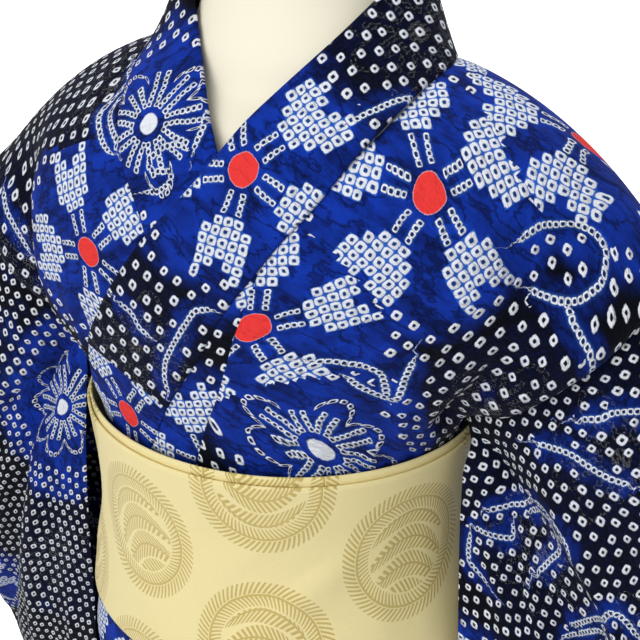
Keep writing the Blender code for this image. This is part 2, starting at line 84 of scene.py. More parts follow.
# Torso surface; tau runs from the front waist (-1) over the shoulder (0) to the back waist (+1).
TORSO_ROWS = (
    # tau, mid_y, mid_z, arm_x, arm_y, arm_z, fall
    (-1.40, -.1090, 1.020, .1262, -.002, 1.020, 1.0),
    (-1.00, -.1115, 1.108, .1285, -.004, 1.108, 1.0),
    (-0.80, -.1170, 1.162, .1400, -.028, 1.134, 2.0),
    (-0.60, -.1175, 1.215, .1660, -.044, 1.158, 2.2),
    (-0.40, -.1070, 1.266, .1960, -.048, 1.185, 2.4),
    (-0.20, -.0800, 1.320, .2260, -.034, 1.213, 2.6),
    (0.00, -.0050, 1.357, .2480, .000, 1.238, 2.6),
    (0.20, .0600, 1.335, .2400, .034, 1.216, 2.6),
    (0.40, .0950, 1.280, .2150, .052, 1.185, 2.4),
    (0.60, .1100, 1.225, .1850, .054, 1.155, 2.2),
    (0.80, .1130, 1.165, .1450, .034, 1.132, 2.0),
    (1.00, .1075, 1.108, .1295, .010, 1.108, 1.0),
    (1.40, .1070, 1.020, .1262, .002, 1.020, 1.0),
)
LEAN_ROWS = (
    # z, x
    (0.05, .0), (0.60, -.0030), (0.80, -.0080), (0.96, -.0130), (1.11, -.0135), (1.17, -.0095),
    (1.23, -.0035), (1.29, .0), (1.45, .0),
)
U_SPAN = 0.22
TAU_SPAN = 0.26
TORSO_FOLDS = (
    # u0, tau0, u1, tau1, depth, width
    (.62, -.22, .86, -.74, -.0160, .020),
    (.86, -.10, .95, -.55, .0060, .020),
    (.70, .30, .88, .78, -.0120, .022),
)
NAPE_TAU = 0.30
COLLAR_SEAM = (
    # tau, u
    (-1.40, -.430), (-1.04, -.195), (-.88, -.095), (-.71, .022), (-.59, .074), (-.485, .124),
    (-.41, .156), (-.31, .203), (-.20, .235), (-.09, .254), (0, .262), (.06, .248),
    (.12, .218), (.18, .172), (.24, .112), (.282, .050), (.30, .0),
)
OVERLAP_SEAM = (
    # tau, u
    (-1.40, -.090), (-.89, .046), (-.80, .084), (-.734, .098), (-.626, .113), (-.569, .123),
    (-.485, .133),
)
OVERLAP_TIP_TAU = -.485
BAND_STATIONS = (
    # tau_out, tau_in, u_in, lift_y, lift_z
    (-1.400, -1.180, -.740, .000, .000),
    (-1.040, -.900, -.505, .000, .000),
    (-.880, -.746, -.400, .000, .000),
    (-.710, -.620, -.276, .000, .000),
    (-.592, -.518, -.184, .000, .000),
    (-.450, -.392, -.078, .000, .000),
    (-.312, -.286, -.001, .000, .000),
    (-.190, -.172, .068, .000, .006),
    (-.090, -.078, .140, .000, .024),
    (.000, -.012, .192, .000, .047),
    (.100, .103, .172, .000, .054),
    (.200, .215, .114, .004, .060),
    (.265, .270, .051, .013, .061),
    (.300, .298, .000, .013, .062),
)
OVER_COLLAR_END_TAU = -.86

# Sleeve; around is 0 at the ridge and 1 at the bottom fold.
ARMHOLE_TAU = 0.78
ARMHOLE_AROUND = 0.36
BODY_EDGE = (
    # around, x, half_gap, z
    (0.36, .1560, .0310, 1.134),
    (0.40, .1590, .0340, 1.112),
    (0.50, .1630, .0400, 1.050),
    (0.72, .1700, .0440, .915),
    (0.92, .1830, .0300, .780),
    (1.00, .1860, .0010, .742),
)
CUFF_EDGE = (
    # around, x, y, half_gap, z
    (0.00, .4700, .0400, .0010, 1.000),
    (0.10, .4700, .0480, .0140, .966),
    (0.28, .4690, .0700, .0200, .888),
    (0.46, .4670, .0960, .0110, .800),
    (0.52, .4665, .1050, .0050, .772),
    (0.80, .4600, .1350, .0000, .694),
    (1.00, .4420, .1400, .0000, .664),
)
CUFF_OPEN_AROUND = 0.51
SLEEVE_SWING_POWER = 1.4
SLEEVE_SAG = 0.010
SLEEVE_BELLY = 0.034
SLEEVE_WIDTH = 0.33
SLEEVE_DROP = 0.49
SLEEVE_LEANS_IN = 0.011
SLEEVE_FRONT_FOLDS = (
    # s0, w0, s1, w1, depth, width
    (.020, .170, .200, .400, -.0200, .020),
    (.015, .120, .260, .280, .0200, .022),
    (.100, .440, .060, .230, .0160, .020),
    (.200, .090, .320, .200, -.0110, .018),
    (.250, .470, .220, .300, -.0150, .018),
)
SLEEVE_BACK_FOLDS = (
    (.030, .160, .220, .390, -.0180, .022),
    (.020, .110, .240, .250, .0140, .020),
    (.120, .450, .090, .250, .0150, .020),
)

# Waist and skirt
SKIRT_ROWS = (
    # z, half_width, front, back
    (0.050, .1500, .1320, .1280),
    (0.300, .1570, .1330, .1310),
    (0.550, .1620, .1320, .1330),
    (0.760, .1610, .1280, .1310),
    (0.880, .1500, .1210, .1230),
    (0.960, .1360, .1130, .1120),
    (1.018, .1262, .1090, .1070),
    (1.140, .1325, .1150, .1090),
)
SKIRT_TOP = 1.0190
SKIRT_RADIUS = .15
OBI_RADIUS = .125
HEM = 0.050
HALF_SEAM_ANGLE = 0.062
BACK_UNDERLAP_END = 92.0
BACK_LAYER_END = 128.0
SKIRT_PLEATS = 5
SKIRT_PLEAT_DEPTH = 0.0030
SKIRT_PANELS = (
    # name, start, end, layer, columns
    ("skirt_back_right", -180, -64, "under", 46),
    ("skirt_front_right", -64, 29, "under", 38),
    ("skirt_overlap_right", 29, 87, "under", 26),
    ("skirt_back_left", 64, 180, "back", 46),
    ("skirt_front_left", -29, 64, "over", 42),
    ("skirt_overlap_left", -87, -29, "over", 28),
)
FOLD_ROWS = (
    # z, lift
    (0.885, .0068), (0.905, .0100), (0.945, .0085), (0.985, .0070), (1.000, .0068),
)
OBI_TILT = 0.010
OBI_CLOTH = 0.0022
OBI_STEP = 0.006
OBI_WRAP_GAP = 0.0005
OBI_ROWS = (
    # z, lift, how much less at the wearer's left
    (0.952, .0124, .0000), (0.985, .0119, .0000), (1.020, .0102, .0010), (1.065, .0100, .0022),
    (1.110, .0112, .0037),
)
RING_COLUMNS = 44
KNOT_LEAVES = (
    # name, ring columns each side, bottom, height, thickness
    ("obi_knot_under_leaf", 5, .952, .150, .0075),
    ("obi_knot_upper_leaf", 4, .958, .138, .0075),
    ("obi_knot_band", 2, .948, .156, .0040),
)

# Creases, placed one by one: metres on the cloth, ridges positive; bend bows the line sideways.
STRIP_CREASES_LEFT = (
    # across0, along0, across1, along1, height, width, bend
    (.058, -.010, .049, -.062, -.0022, .0035, .003),
    (.050, -.012, .043, -.070, .0016, .0040, .003),
    (.128, -.080, .150, -.205, -.0030, .0060, -.008),
    (.150, -.060, .172, -.170, .0030, .0080, -.010),
    (.168, -.075, .190, -.150, -.0026, .0050, -.006),
    (.112, -.150, .148, -.240, .0022, .0060, .008),
    (.070, -.215, .062, -.272, -.0016, .0035, .002),
    (.086, -.205, .092, -.275, .0018, .0045, -.003),
    (.108, -.222, .112, -.276, -.0018, .0035, .002),
    (.124, -.200, .136, -.272, .0022, .0050, -.004),
    (.150, -.215, .158, -.270, -.0022, .0040, .003),
    (.176, -.200, .184, -.262, .0020, .0045, -.002),
    (.036, -.100, .066, -.170, .0012, .0050, .004),
    (.060, -.130, .110, -.176, -.0012, .0045, .006),
    (.110, -.036, .172, -.060, .0016, .0060, -.005),
    (.140, .060, .186, .170, -.0024, .0070, .008),
    (.060, .090, .070, .240, .0018, .0070, -.006),
    (.100, .120, .120, .260, -.0016, .0060, .005),
    (.030, .140, .026, .265, -.0012, .0050, -.003),
)
STRIP_CREASES_RIGHT = (
    (.064, -.012, .052, -.078, -.0020, .0040, .003),
    (.130, -.090, .158, -.215, -.0030, .0060, .008),
    (.156, -.064, .176, -.184, .0028, .0075, -.008),
    (.096, -.130, .128, -.236, .0020, .0060, -.006),
    (.112, -.215, .118, -.272, -.0016, .0035, .003),
    (.146, -.205, .158, -.270, .0020, .0050, .003),
    (.168, -.212, .176, -.268, -.0018, .0040, -.002),
    (.136, .066, .190, .180, -.0022, .0070, -.008),
    (.050, .110, .064, .250, .0018, .0070, .006),
    (.090, .100, .116, .250, -.0018, .0060, -.004),
)
SLEEVE_CREASES_FRONT = (
    # along the sleeve 0, down 0, 1, 1, height, width, bend
    (.014, .150, .110, .330, -.0040, .0060, .012),
    (.022, .128, .190, .300, .0036, .0075, -.016),
    (.012, .190, .070, .330, .0030, .0060, .008),
    (.040, .118, .240, .210, -.0030, .0065, -.010),
    (.060, .090, .260, .140, .0022, .0070, .006),
    (.100, .330, .170, .470, -.0034, .0070, -.010),
    (.150, .300, .250, .460, .0030, .0080, .012),
    (.200, .250, .300, .330, -.0022, .0060, .008),
    (.030, .330, .050, .470, .0026, .0060, -.006),
    (.060, .380, .090, .480, -.0022, .0050, .004),
    (.220, .040, .310, .060, -.0014, .0060, .004),
    (.240, .350, .300, .470, .0024, .0070, -.008),
)
SLEEVE_CREASES_BACK = (
    (.016, .160, .130, .340, -.0036, .0070, -.012),
    (.024, .120, .210, .270, .0030, .0080, .014),
    (.060, .100, .250, .170, -.0024, .0070, -.008),
    (.110, .320, .190, .470, .0030, .0080, .010),
    (.170, .260, .290, .400, -.0026, .0070, -.010),
    (.040, .340, .060, .470, -.0022, .0060, .006),
)
SKIRT_CREASES = (
    # angle0, z0, angle1, z1, height in metres, width in metres, bend in metres
    (8, .90, 4, .30, .0030, .0120, .010),
    (22, .88, 30, .12, -.0026, .0100, -.014),
    (-14, .86, -24, .40, .0026, .0110, .012),
    (-40, .88, -44, .10, -.0028, .0110, -.010),
    (-58, .84, -50, .22, .0026, .0100, .012),
    (46, .89, 52, .34, .0030, .0120, -.012),
    (58, .70, 60, .06, -.0022, .0090, .006),
    (80, .88, 76, .20, -.0028, .0120, .012),
    (100, .86, 108, .30, .0030, .0130, -.012),
    (126, .88, 118, .08, -.0026, .0110, .010),
    (148, .87, 156, .36, .0028, .0120, .012),
    (172, .86, 166, .12, -.0026, .0110, -.010),
    (-168, .88, -160, .40, .0026, .0120, .010),
    (-146, .86, -152, .10, -.0030, .0120, -.012),
    (-122, .89, -116, .30, .0028, .0120, .010),
    (-98, .85, -104, .16, -.0026, .0110, .012),
    (-76, .87, -82, .42, .0022, .0100, -.010),
)
OBI_CREASES = (
    # angle0, z0, angle1, z1, height, width, bend
    (4, .985, 46, 1.075, -.0016, .0100, .004),
    (12, .975, 54, 1.060, .0014, .0110, .004),
    (-62, .965, -40, 1.060, .0010, .0120, -.004),
    (58, .955, 66, 1.090, -.0010, .0080, .003),
    (96, .960, 112, 1.080, .0010, .0100, .004),
    (-104, .970, -90, 1.070, -.0010, .0100, -.003),
)

# Stage, and the camera at the photograph's angle
FLOOR_FRONT, FLOOR_BACK = -9.0, 5.0
BEND_RADIUS = 3.0
PAPER_HALF_WIDTH, PAPER_TOP = 12.0, 9.0
FOCAL_PIXELS, PICTURE_PIXELS = 1155, 640
SENSOR_WIDTH = 36.0
LAMPS = (
    # name, place, size, setting of its power
    ("key_light", (-.7, -2.3, 2.8), 2.6, "key"),
    ("fill_light", (.5, -2.6, 1.9), 1.8, "fill"),
    ("top_light", (.3, 1.4, 3.2), 1.8, "fill"),
)
CAMERA_AZIMUTH = 28.0
CAMERA_TARGET = (0.0350, -0.0396, 1.1839)
CAMERA_PLACE = (0.3477, -0.6278, 1.4946)

# Dyed pattern: flowers and chains of tied dots on each piece, in cloth metres.
RED_FLOWER, WHITE_FLOWER, QUIET = 0, 1, 2
FLOWERS = {
    # piece: (across, along, kind, turn)
    "body_left": ((-.092, .265, RED_FLOWER, .168), (-.122, .150, RED_FLOWER, .140),
                  (-.026, .356, RED_FLOWER, .128), (-.050, .096, WHITE_FLOWER, .05),
                  (.030, .190, QUIET, 0), (.040, .080, QUIET, 0)),
    "body_right": ((-.102, .181, RED_FLOWER, .055), (.012, .205, QUIET, 0),
                   (-.110, .280, QUIET, 0)),
    "over_collar": ((-.010, .178, RED_FLOWER, .083), (.008, .686, WHITE_FLOWER, .03),
                    (.000, .305, QUIET, 0), (.000, .040, QUIET, 0)),
    "collar_left_end": ((.011, .103, RED_FLOWER, .078),),
    "sleeve_left": ((-.128, .030, RED_FLOWER, .10), (.030, .060, QUIET, 0),
                    (.130, .080, QUIET, 0), (.040, .160, QUIET, 0)),
    "sleeve_right": ((-.030, .022, WHITE_FLOWER, .10), (.100, .060, QUIET, 0),
                     (.587, .177, WHITE_FLOWER, .10)),
}
CHAINS = {
    # piece: (kind, points), kind 1 a single chain and 2 a double one
    "body_left": (
        (1, ((-.035, .273), (-.023, .285), (-.007, .291), (.008, .294), (.015, .290),
             (.017, .280), (.011, .268), (.000, .258), (-.014, .253))),
        (1, ((-.079, .154), (-.067, .162), (-.051, .167), (-.042, .163), (-.034, .156))),
        (1, ((-.058, .155), (-.041, .153), (-.029, .158), (-.037, .172), (-.043, .184))),
        (1, ((.005, .262), (.018, .257), (.034, .257), (.050, .250))),
    ),
    "body_right": (
        (1, ((.013, .254), (.011, .239), (.008, .224), (.008, .212))),
        (2, ((-.140, .238), (-.130, .250), (-.124, .264), (-.128, .280), (-.118, .292))),
    ),
    "over_collar": (
        (1, ((.017, .238), (.019, .246), (.021, .253), (.023, .263), (.026, .272))),
        (1, ((-.014, .710), (-.009, .706), (-.003, .704), (.006, .704), (.013, .708),
             (.013, .713), (.007, .716), (.001, .718), (.001, .722), (.005, .725),
             (.013, .726), (.020, .724))),
        (1, ((-.030, .694), (-.027, .702), (-.022, .708), (-.019, .712))),
        (1, ((.027, .102), (.023, .099), (.019, .093), (.019, .083), (.019, .074),
             (.019, .062), (.020, .051), (.024, .040), (.029, .033))),
        (1, ((-.025, .057), (-.014, .059), (-.005, .056), (.003, .057))),
    ),
    "sleeve_left": (
        (1, ((.018, .007), (.022, .021), (.025, .034), (.033, .033))),
        (1, ((.037, .016), (.049, .032), (.065, .045), (.071, .063), (.068, .076),
             (.060, .083))),
        (1, ((.051, .040), (.065, .056), (.059, .066), (.044, .068), (.029, .065),
             (.017, .060))),
        (1, ((.012, .004), (-.004, .006), (-.011, .010), (-.016, .026))),
        (1, ((.000, .094), (.022, .108), (.045, .118), (.049, .131), (.044, .145))),
        (1, ((-.014, .091), (.008, .107), (.022, .120), (.010, .126))),
        (1, ((.136, .049), (.142, .057), (.150, .063), (.160, .080))),
        (1, ((.108, .035), (.114, .049), (.115, .063), (.116, .079), (.119, .090))),
    ),
}
FLOWER_ROWS, FLOWER_COLUMNS = .150, .175
FLOWER_CLEARANCE = .125
CHAIN_CLEARANCE = .020
CHAIN_REACH = .018
FAR_FROM_CHAIN = .05
CLOSE_TAG = 4
HEADING_SHARE = 0.44
WOBBLE = .0036
NO_RING = 9
PETAL_START = .0275
SPOKE_START, SPOKE_PITCH, SPOKE_HALF = .0118, .0036, .0019
LOOP_POINTS, LOOP_RADIUS, LOOP_SWELL = 54, .0290, .0140
LINK_HALF = .0020
DOT_ROW_SHARE, DOT_SHIFT = .88, .22
RED_REACH, WHITE_REACH = .0655, .0530
CLOSE_DOTS = ("sleeve_left", "sleeve_right", "skirt_front_left", "skirt_overlap_left")

# Roundels of the obi, in metres: a feathered ring round fern fronds
ROUNDEL_RADIUS, ROUNDEL_BAND, ROUNDEL_STROKES = .0385, .0085, 76
ROUNDEL_HEIGHT_SHARE = .93
FROND_SPACING, FROND_HALF_LENGTH, FROND_HALF_WIDTH = .0190, .0300, .0092


def spline(rows, at):
    """Hermite curve through the rows; the first column is the parameter."""
    rows = np.asarray(rows, float)
    x, y = rows[:, 0], rows[:, 1:]
    span = np.diff(x)
    slope = np.diff(y, axis=0) / span[:, None]
    tangent = np.zeros_like(y)
    tangent[1:-1] = slope[:-1] * span[1:, None] + slope[1:] * span[:-1, None]
    tangent[1:-1] /= (span[:-1] + span[1:])[:, None]
    tangent[0], tangent[-1] = slope[0], slope[-1]
    at = np.clip(np.asarray(at, float), x[0], x[-1])
    k = np.clip(np.searchsorted(x, at, side="right") - 1, 0, len(x) - 2)
    h = span[k][..., None]
    s = ((at - x[k]) / span[k])[..., None]
    return ((2 * s**3 - 3 * s**2 + 1) * y[k] + (s**3 - 2 * s**2 + s) * h * tangent[k]
            + (-2 * s**3 + 3 * s**2) * y[k + 1] + (s**3 - s**2) * h * tangent[k + 1])


def smooth(x, start, end):
    """Smooth step from 0 at start to 1 at end."""
    s = np.clip((np.asarray(x, float) - start) / (end - start), 0, 1)
    return s * s * (3 - 2 * s)


def fold_relief(a, b, folds):
    """Height of the large soft folds, which the solids have too."""
    height = np.zeros(np.broadcast(a, b).shape)
    for a0, b0, a1, b1, depth, width in folds:
        run_a, run_b = a1 - a0, b1 - b0
        along = ((a - a0) * run_a + (b - b0) * run_b) / (run_a**2 + run_b**2)
        along = np.clip(along, 0, 1)
        away = np.hypot(a - a0 - along * run_a, b - b0 - along * run_b)
        height = height + depth * np.exp(-(away / width)**2)
    return height


def crease_relief(a, b, creases):
    """Height of sharper creases that fade out at both ends and bow to one side."""
    height = np.zeros(np.broadcast(a, b).shape)
    for a0, b0, a1, b1, depth, width, bend in creases:
        run_a, run_b = a1 - a0, b1 - b0
        length = math.hypot(run_a, run_b)
        along = ((a - a0) * run_a + (b - b0) * run_b) / length**2
        side = ((b - b0) * run_a - (a - a0) * run_b) / length
        side = side - bend * np.sin(math.pi * np.clip(along, 0, 1))
        fade = smooth(along, -.05, .35) * (1 - smooth(along, .55, 1.05))
        core = np.exp(-np.abs(side / width)**1.6)
        flank = np.exp(-((np.abs(side) - 2.1 * width) / (1.2 * width))**2)
        height = height + depth * fade * (core - .30 * flank)
    return height


def creases_round(angle, z, creases, radius):
    """Height of creases whose places are given in degrees round the waist."""
    lines = [(radius * math.radians(a0), z0, radius * math.radians(a1), z1, depth, width, bend)
             for a0, z0, a1, z1, depth, width, bend in creases]
    return crease_relief(radius * np.radians(angle), z, lines)


def leaned(point):
    """Points with the sideways lean of their height."""
    point[..., 0] += spline(LEAN_ROWS, point[..., 2])[..., 0]
    return point


def torso_base(u, tau):
    """Torso surface without its folds; u is -1 and 1 at the armhole seams."""
    u, tau = np.broadcast_arrays(np.asarray(u, float), np.asarray(tau, float))
    mid_y, mid_z, arm_x, arm_y, arm_z, fall = np.moveaxis(spline(TORSO_ROWS, tau), -1, 0)
    sine, cosine = np.sin(np.abs(u) * math.pi / 2), np.cos(u * math.pi / 2)
    return leaned(np.stack([np.sign(u) * arm_x * sine, arm_y + (mid_y - arm_y) * cosine,
                            mid_z + (arm_z - mid_z) * sine**fall], -1))


def torso(u, tau, out=0.0, folds=True):
    """Point on the torso surface, moved out along its normal."""
    u, tau = np.broadcast_arrays(np.asarray(u, float), np.asarray(tau, float))
    step = 0.01
    across = torso_base(u + step, tau) - torso_base(u - step, tau)
    over = torso_base(u, tau + step) - torso_base(u, tau - step)
    normal = np.cross(across, over)
    normal /= np.linalg.norm(normal, axis=-1, keepdims=True)
    relief = 0.0
    if folds:
        lines = [(U_SPAN * u0, TAU_SPAN * t0, U_SPAN * u1, TAU_SPAN * t1, depth, width)
                 for u0, t0, u1, t1, depth, width in TORSO_FOLDS]
        relief = fold_relief(U_SPAN * np.abs(u), TAU_SPAN * tau, lines)
    return torso_base(u, tau) + normal * np.broadcast_to(out + relief, u.shape)[..., None]


def waist(angle, z, out=0.0):
    """Point on the waist and skirt surface; angle is 0 in front and 90 at the wearer's left."""
    angle, z = np.broadcast_arrays(np.radians(angle), np.asarray(z, float))
    half_width, front, back = np.moveaxis(spline(SKIRT_ROWS, z), -1, 0)
    depth = np.where(np.cos(angle) > 0, front, back)
    return leaned(np.stack([(half_width + out) * np.sin(angle), -(depth + out) * np.cos(angle), z],
                           -1))


def over_level(tau, side):
    """The left front lies over the right one, and comes down to its level at the shoulder."""
    return OVER_LAYER * (1 - smooth(tau, -0.30, -0.08)) * (side > 0)


def strip_start(tau):
    """Where a body strip begins: at its overlap panel, the collar or the centre back seam."""
    overlap = spline(OVERLAP_SEAM, tau)[..., 0] + SEWN_SEAM_U
    seam = spline(COLLAR_SEAM, tau - STANDING_SEAM_TAU * smooth(tau, .05, .20))[..., 0]
    seam = seam + SEWN_SEAM_U + (STANDING_SEAM_U - SEWN_SEAM_U) * smooth(tau, -.32, -.14)
    start = overlap + (seam - overlap) * smooth(tau, OVERLAP_TIP_TAU, OVERLAP_TIP_TAU + .05)
    return np.where(tau > NAPE_TAU, SEWN_SEAM_U, start)


def seam_dip(distance, depth=.0010, width=.0035):
    """A sewn edge is drawn in a little; distance is from the seam in metres."""
    return -depth * np.exp(-(distance / width)**2)


def cloth_metres(points, closed, spine):
    """Metres across and along the cloth, as if each piece were laid flat on a table.

    spine gives, for each row, the column of a straight thread that the rest is measured from.
    """
    if closed:
        points = np.concatenate([points, points[:, :1]], axis=1)
    across = np.linalg.norm(np.diff(points, axis=1), axis=-1)
    across = np.concatenate([np.zeros((len(points), 1)), np.cumsum(across, axis=1)], axis=1)
    middle = (points.shape[1] - 1) / 2 if spine is None else spine
    middle = np.broadcast_to(middle, len(points))
    column = np.minimum(middle.astype(int), points.shape[1] - 2)
    row, share = np.arange(len(points)), (middle - column)[:, None]
    thread = points[row, column] * (1 - share) + points[row, column + 1] * share
    across = across - across[row, column][:, None] * (1 - share) \
        - across[row, column + 1][:, None] * share
    along = np.linalg.norm(np.diff(thread, axis=0), axis=-1)
    along = np.concatenate([[0.0], np.cumsum(along)])
    flat = np.stack([across, np.broadcast_to(along[:, None], across.shape)], -1)
    if spine is None:
        return flat
    picks = [np.unique(np.linspace(0, count - 1, min(count, COARSE_POINTS)).astype(int))
             for count in points.shape[:2]]
    coarse = np.ix_(*picks)
    shift = eased(points[coarse], flat[coarse]) - flat[coarse]
    for axis, pick in enumerate(picks):
        full = np.arange(points.shape[axis])
        k = np.clip(np.searchsorted(pick, full, side="right") - 1, 0, len(pick) - 2)
        share = (full - pick[k]) / (pick[k + 1] - pick[k])
        share = share.reshape((-1, 1) if axis else (-1, 1, 1))
        low, high = np.take(shift, k, axis=axis), np.take(shift, k + 1, axis=axis)
        shift = low + (high - low) * share
    return flat + shift


def eased(points, flat):
    """Flat places whose distances come close to those of the worn cloth."""
    rows, columns = flat.shape[:2]
    pairs = []
    for di, dj, weight in EASE_LINKS:
        i, j = np.mgrid[0:rows - di, max(0, -dj):columns - max(0, dj)]
        pairs.append(((i, j), (i + di, j + dj), weight))
    flat = flat.copy()
    for _ in range(EASE_ROUNDS):
        move, count = np.zeros_like(flat), np.zeros(flat.shape[:2] + (1,))
        for first, second, weight in pairs:
            gap = flat[second] - flat[first]
            length = np.linalg.norm(gap, axis=-1, keepdims=True)
            wanted = np.linalg.norm(points[second] - points[first], axis=-1, keepdims=True)
            pull = weight * .5 * gap * (1 - wanted / np.maximum(length, 1e-9))
            move[first] += pull
            move[second] -= pull
            count[first] += weight
            count[second] += weight
        flat += EASE_PULL * move / count
    return flat


def grid_normals(points, closed):
    """Unit normals of a grid, for a grid whose columns run to the left of its rows."""
    if closed:
        wrapped = np.concatenate([points[:, -1:], points, points[:, :1]], axis=1)
        across = wrapped[:, 2:] - wrapped[:, :-2]
    else:
        across = np.gradient(points, axis=1)
    normal = np.cross(across, np.gradient(points, axis=0))
    length = np.linalg.norm(normal, axis=-1, keepdims=True)
    return normal / np.maximum(length, 1e-9)


class Shell:
    """Thin cloth from a grid of points: an inner and an outer face joined by a rounded edge."""

    def __init__(self, points, thickness, closed=False, flip=False, outer=None, spine=None):
        self.points = points
        self.closed = closed
        self.sign = -1 if flip else 1
        self.cloth = cloth_metres(points, closed, spine)
        normal = grid_normals(points, closed) * self.sign
        self.outer = points + normal * thickness if outer is None else outer
        self.vertices = [points.reshape(-1, 3), self.outer.reshape(-1, 3)]
        self.faces, self.face_cloth = [], []
        self.sides()
        self.edges()

    def sides(self):
        """Inner and outer face."""
        rows, columns = self.points.shape[:2]
        last = columns if self.closed else columns - 1
        i, j = np.meshgrid(np.arange(rows - 1), np.arange(last), indexing="ij")
        corners = [(i, j), (i, j + 1), (i + 1, j + 1), (i + 1, j)]
        quads = np.stack([a * columns + b % columns for a, b in corners], -1).reshape(-1, 4)
        cloth = np.stack([self.cloth[a, b] for a, b in corners], -2).reshape(-1, 4, 2)
        self.add(quads + rows * columns, cloth, 1)
        self.add(quads, cloth, -1)

    def edges(self):
        """Rounded edge round the piece, or at both ends of a tube."""
        rows, columns = self.points.shape[:2]
        i, j = np.arange(rows), np.arange(columns)
        if self.closed:
            self.rim(0 * j, j, 0 * j, j + 1)
            self.rim(0 * j + rows - 1, j + 1, 0 * j + rows - 1, j)
            return
        loop_i = np.concatenate([0 * j, i[1:], 0 * j[1:] + rows - 1, i[-2:0:-1]])
        loop_j = np.concatenate([j, 0 * i[1:] + columns - 1, j[-2::-1], 0 * i[1:-1]])
        self.rim(loop_i, loop_j, np.roll(loop_i, -1), np.roll(loop_j, -1))

    def rim(self, i, j, next_i, next_j):
        """Edge faces from each boundary point to the next one."""
        rows, columns = self.points.shape[:2]
        wrapped, start = j % columns, sum(len(block) for block in self.vertices)
        inner_j = wrapped if self.closed else np.clip(j, 1, columns - 2)
        inward = self.points[np.clip(i, 1, rows - 2), inner_j] - self.points[i, wrapped]
        inward /= np.maximum(np.linalg.norm(inward, axis=-1, keepdims=True), 1e-9)
        wall = self.outer[i, wrapped] - self.points[i, wrapped]
        bulge = inward * np.linalg.norm(wall, axis=-1, keepdims=True) * .45
        self.vertices.append(self.points[i, wrapped] + wall / 2 - bulge)
        low, low_next = i * columns + wrapped, next_i * columns + next_j % columns
        count, step = rows * columns, np.arange(len(i))
        order = {key: k for k, key in enumerate(low)}
        middle = start + step
        middle_next = start + np.array([order[key] for key in low_next])
        cloth, cloth_next = self.cloth[i, j], self.cloth[next_i, next_j]
        for top, top_next, under, under_next in (
                (low + count, low_next + count, middle, middle_next),
                (middle, middle_next, low, low_next)):
            quads = np.stack([top_next, top, under, under_next], -1)
            self.add(quads, np.stack([cloth_next, cloth, cloth, cloth_next], -2), 1)

    def add(self, quads, cloth, turn):
        turn = turn * self.sign
        self.faces.append(quads[:, ::turn])
        self.face_cloth.append(cloth[:, ::turn])

    def piece(self, node, slot, look):
        """Blender object that stands for a node and carries its cloth coordinates."""
        cloth = np.concatenate(self.face_cloth)
        mesh = bpy.data.meshes.new(node + "_cloth")
        mesh.from_pydata(np.concatenate(self.vertices).tolist(), [],
                         np.concatenate(self.faces).tolist())
        layer = mesh.uv_layers.new(name="UVMap")
        layer.data.foreach_set("uv", cloth.reshape(-1).astype(np.float32))
        if slot == "indigo_cotton":
            set_marks(mesh, "flower", flower_marks(node, cloth))
            set_marks(mesh, "chain", chain_marks(node, cloth))
        mesh.shade_smooth()
        mesh.materials.append(look)
        piece = bpy.data.objects.new(node + "_cloth", mesh)
        bpy.context.scene.collection.objects.link(piece)
        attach(piece, "root")
        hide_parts(node)
        return piece


def set_marks(mesh, name, values):
    """Store a vector for each face corner."""
    attribute = mesh.attributes.new(name, 'FLOAT_VECTOR', 'CORNER')
    attribute.data.foreach_set("vector", values.reshape(-1).astype(np.float32))


def seed_of(node):
    """Seed of a piece's random draws."""
    return sum(map(ord, node))


def scattered_flowers(node, cloth):
    """More flowers where none was listed, on a loose lattice."""
    placed = FLOWERS.get(node, ())
    low, high = cloth.reshape(-1, 2).min(0), cloth.reshape(-1, 2).max(0)
    rng = np.random.default_rng(seed_of(node))
    flowers = []
    for row, y in enumerate(np.arange(low[1] - .02, high[1] + .08, FLOWER_ROWS)):
        for x in np.arange(low[0] - .02, high[0] + .10, FLOWER_COLUMNS):
            spot = (x + .087 * (row % 2) + rng.uniform(-.014, .014), y + rng.uniform(-.016, .016))
            kind = rng.choice([RED_FLOWER, RED_FLOWER, WHITE_FLOWER, QUIET])
            turn = rng.uniform(0, .95)
            if all(math.hypot(spot[0] - p[0], spot[1] - p[1]) > FLOWER_CLEARANCE for p in placed):
                flowers.append((*spot, kind, turn))
    return flowers


def flower_marks(node, cloth):
    """For each face corner: its place from the centre of the nearest flower, and that flower."""
    flowers = np.array([*FLOWERS.get(node, ()), *scattered_flowers(node, cloth)], float)
    centre = cloth.mean(axis=1)
    away = np.linalg.norm(centre[:, None] - flowers[None, :, :2], axis=-1)
    away = away + .030 * (flowers[None, :, 2] == QUIET)
    nearest = flowers[away.argmin(axis=1)]
    marks = np.empty(cloth.shape[:2] + (3,))
    marks[..., :2] = cloth - nearest[:, None, :2]
    marks[..., 2] = (2 * nearest[:, 2] + nearest[:, 3])[:, None]
    return marks


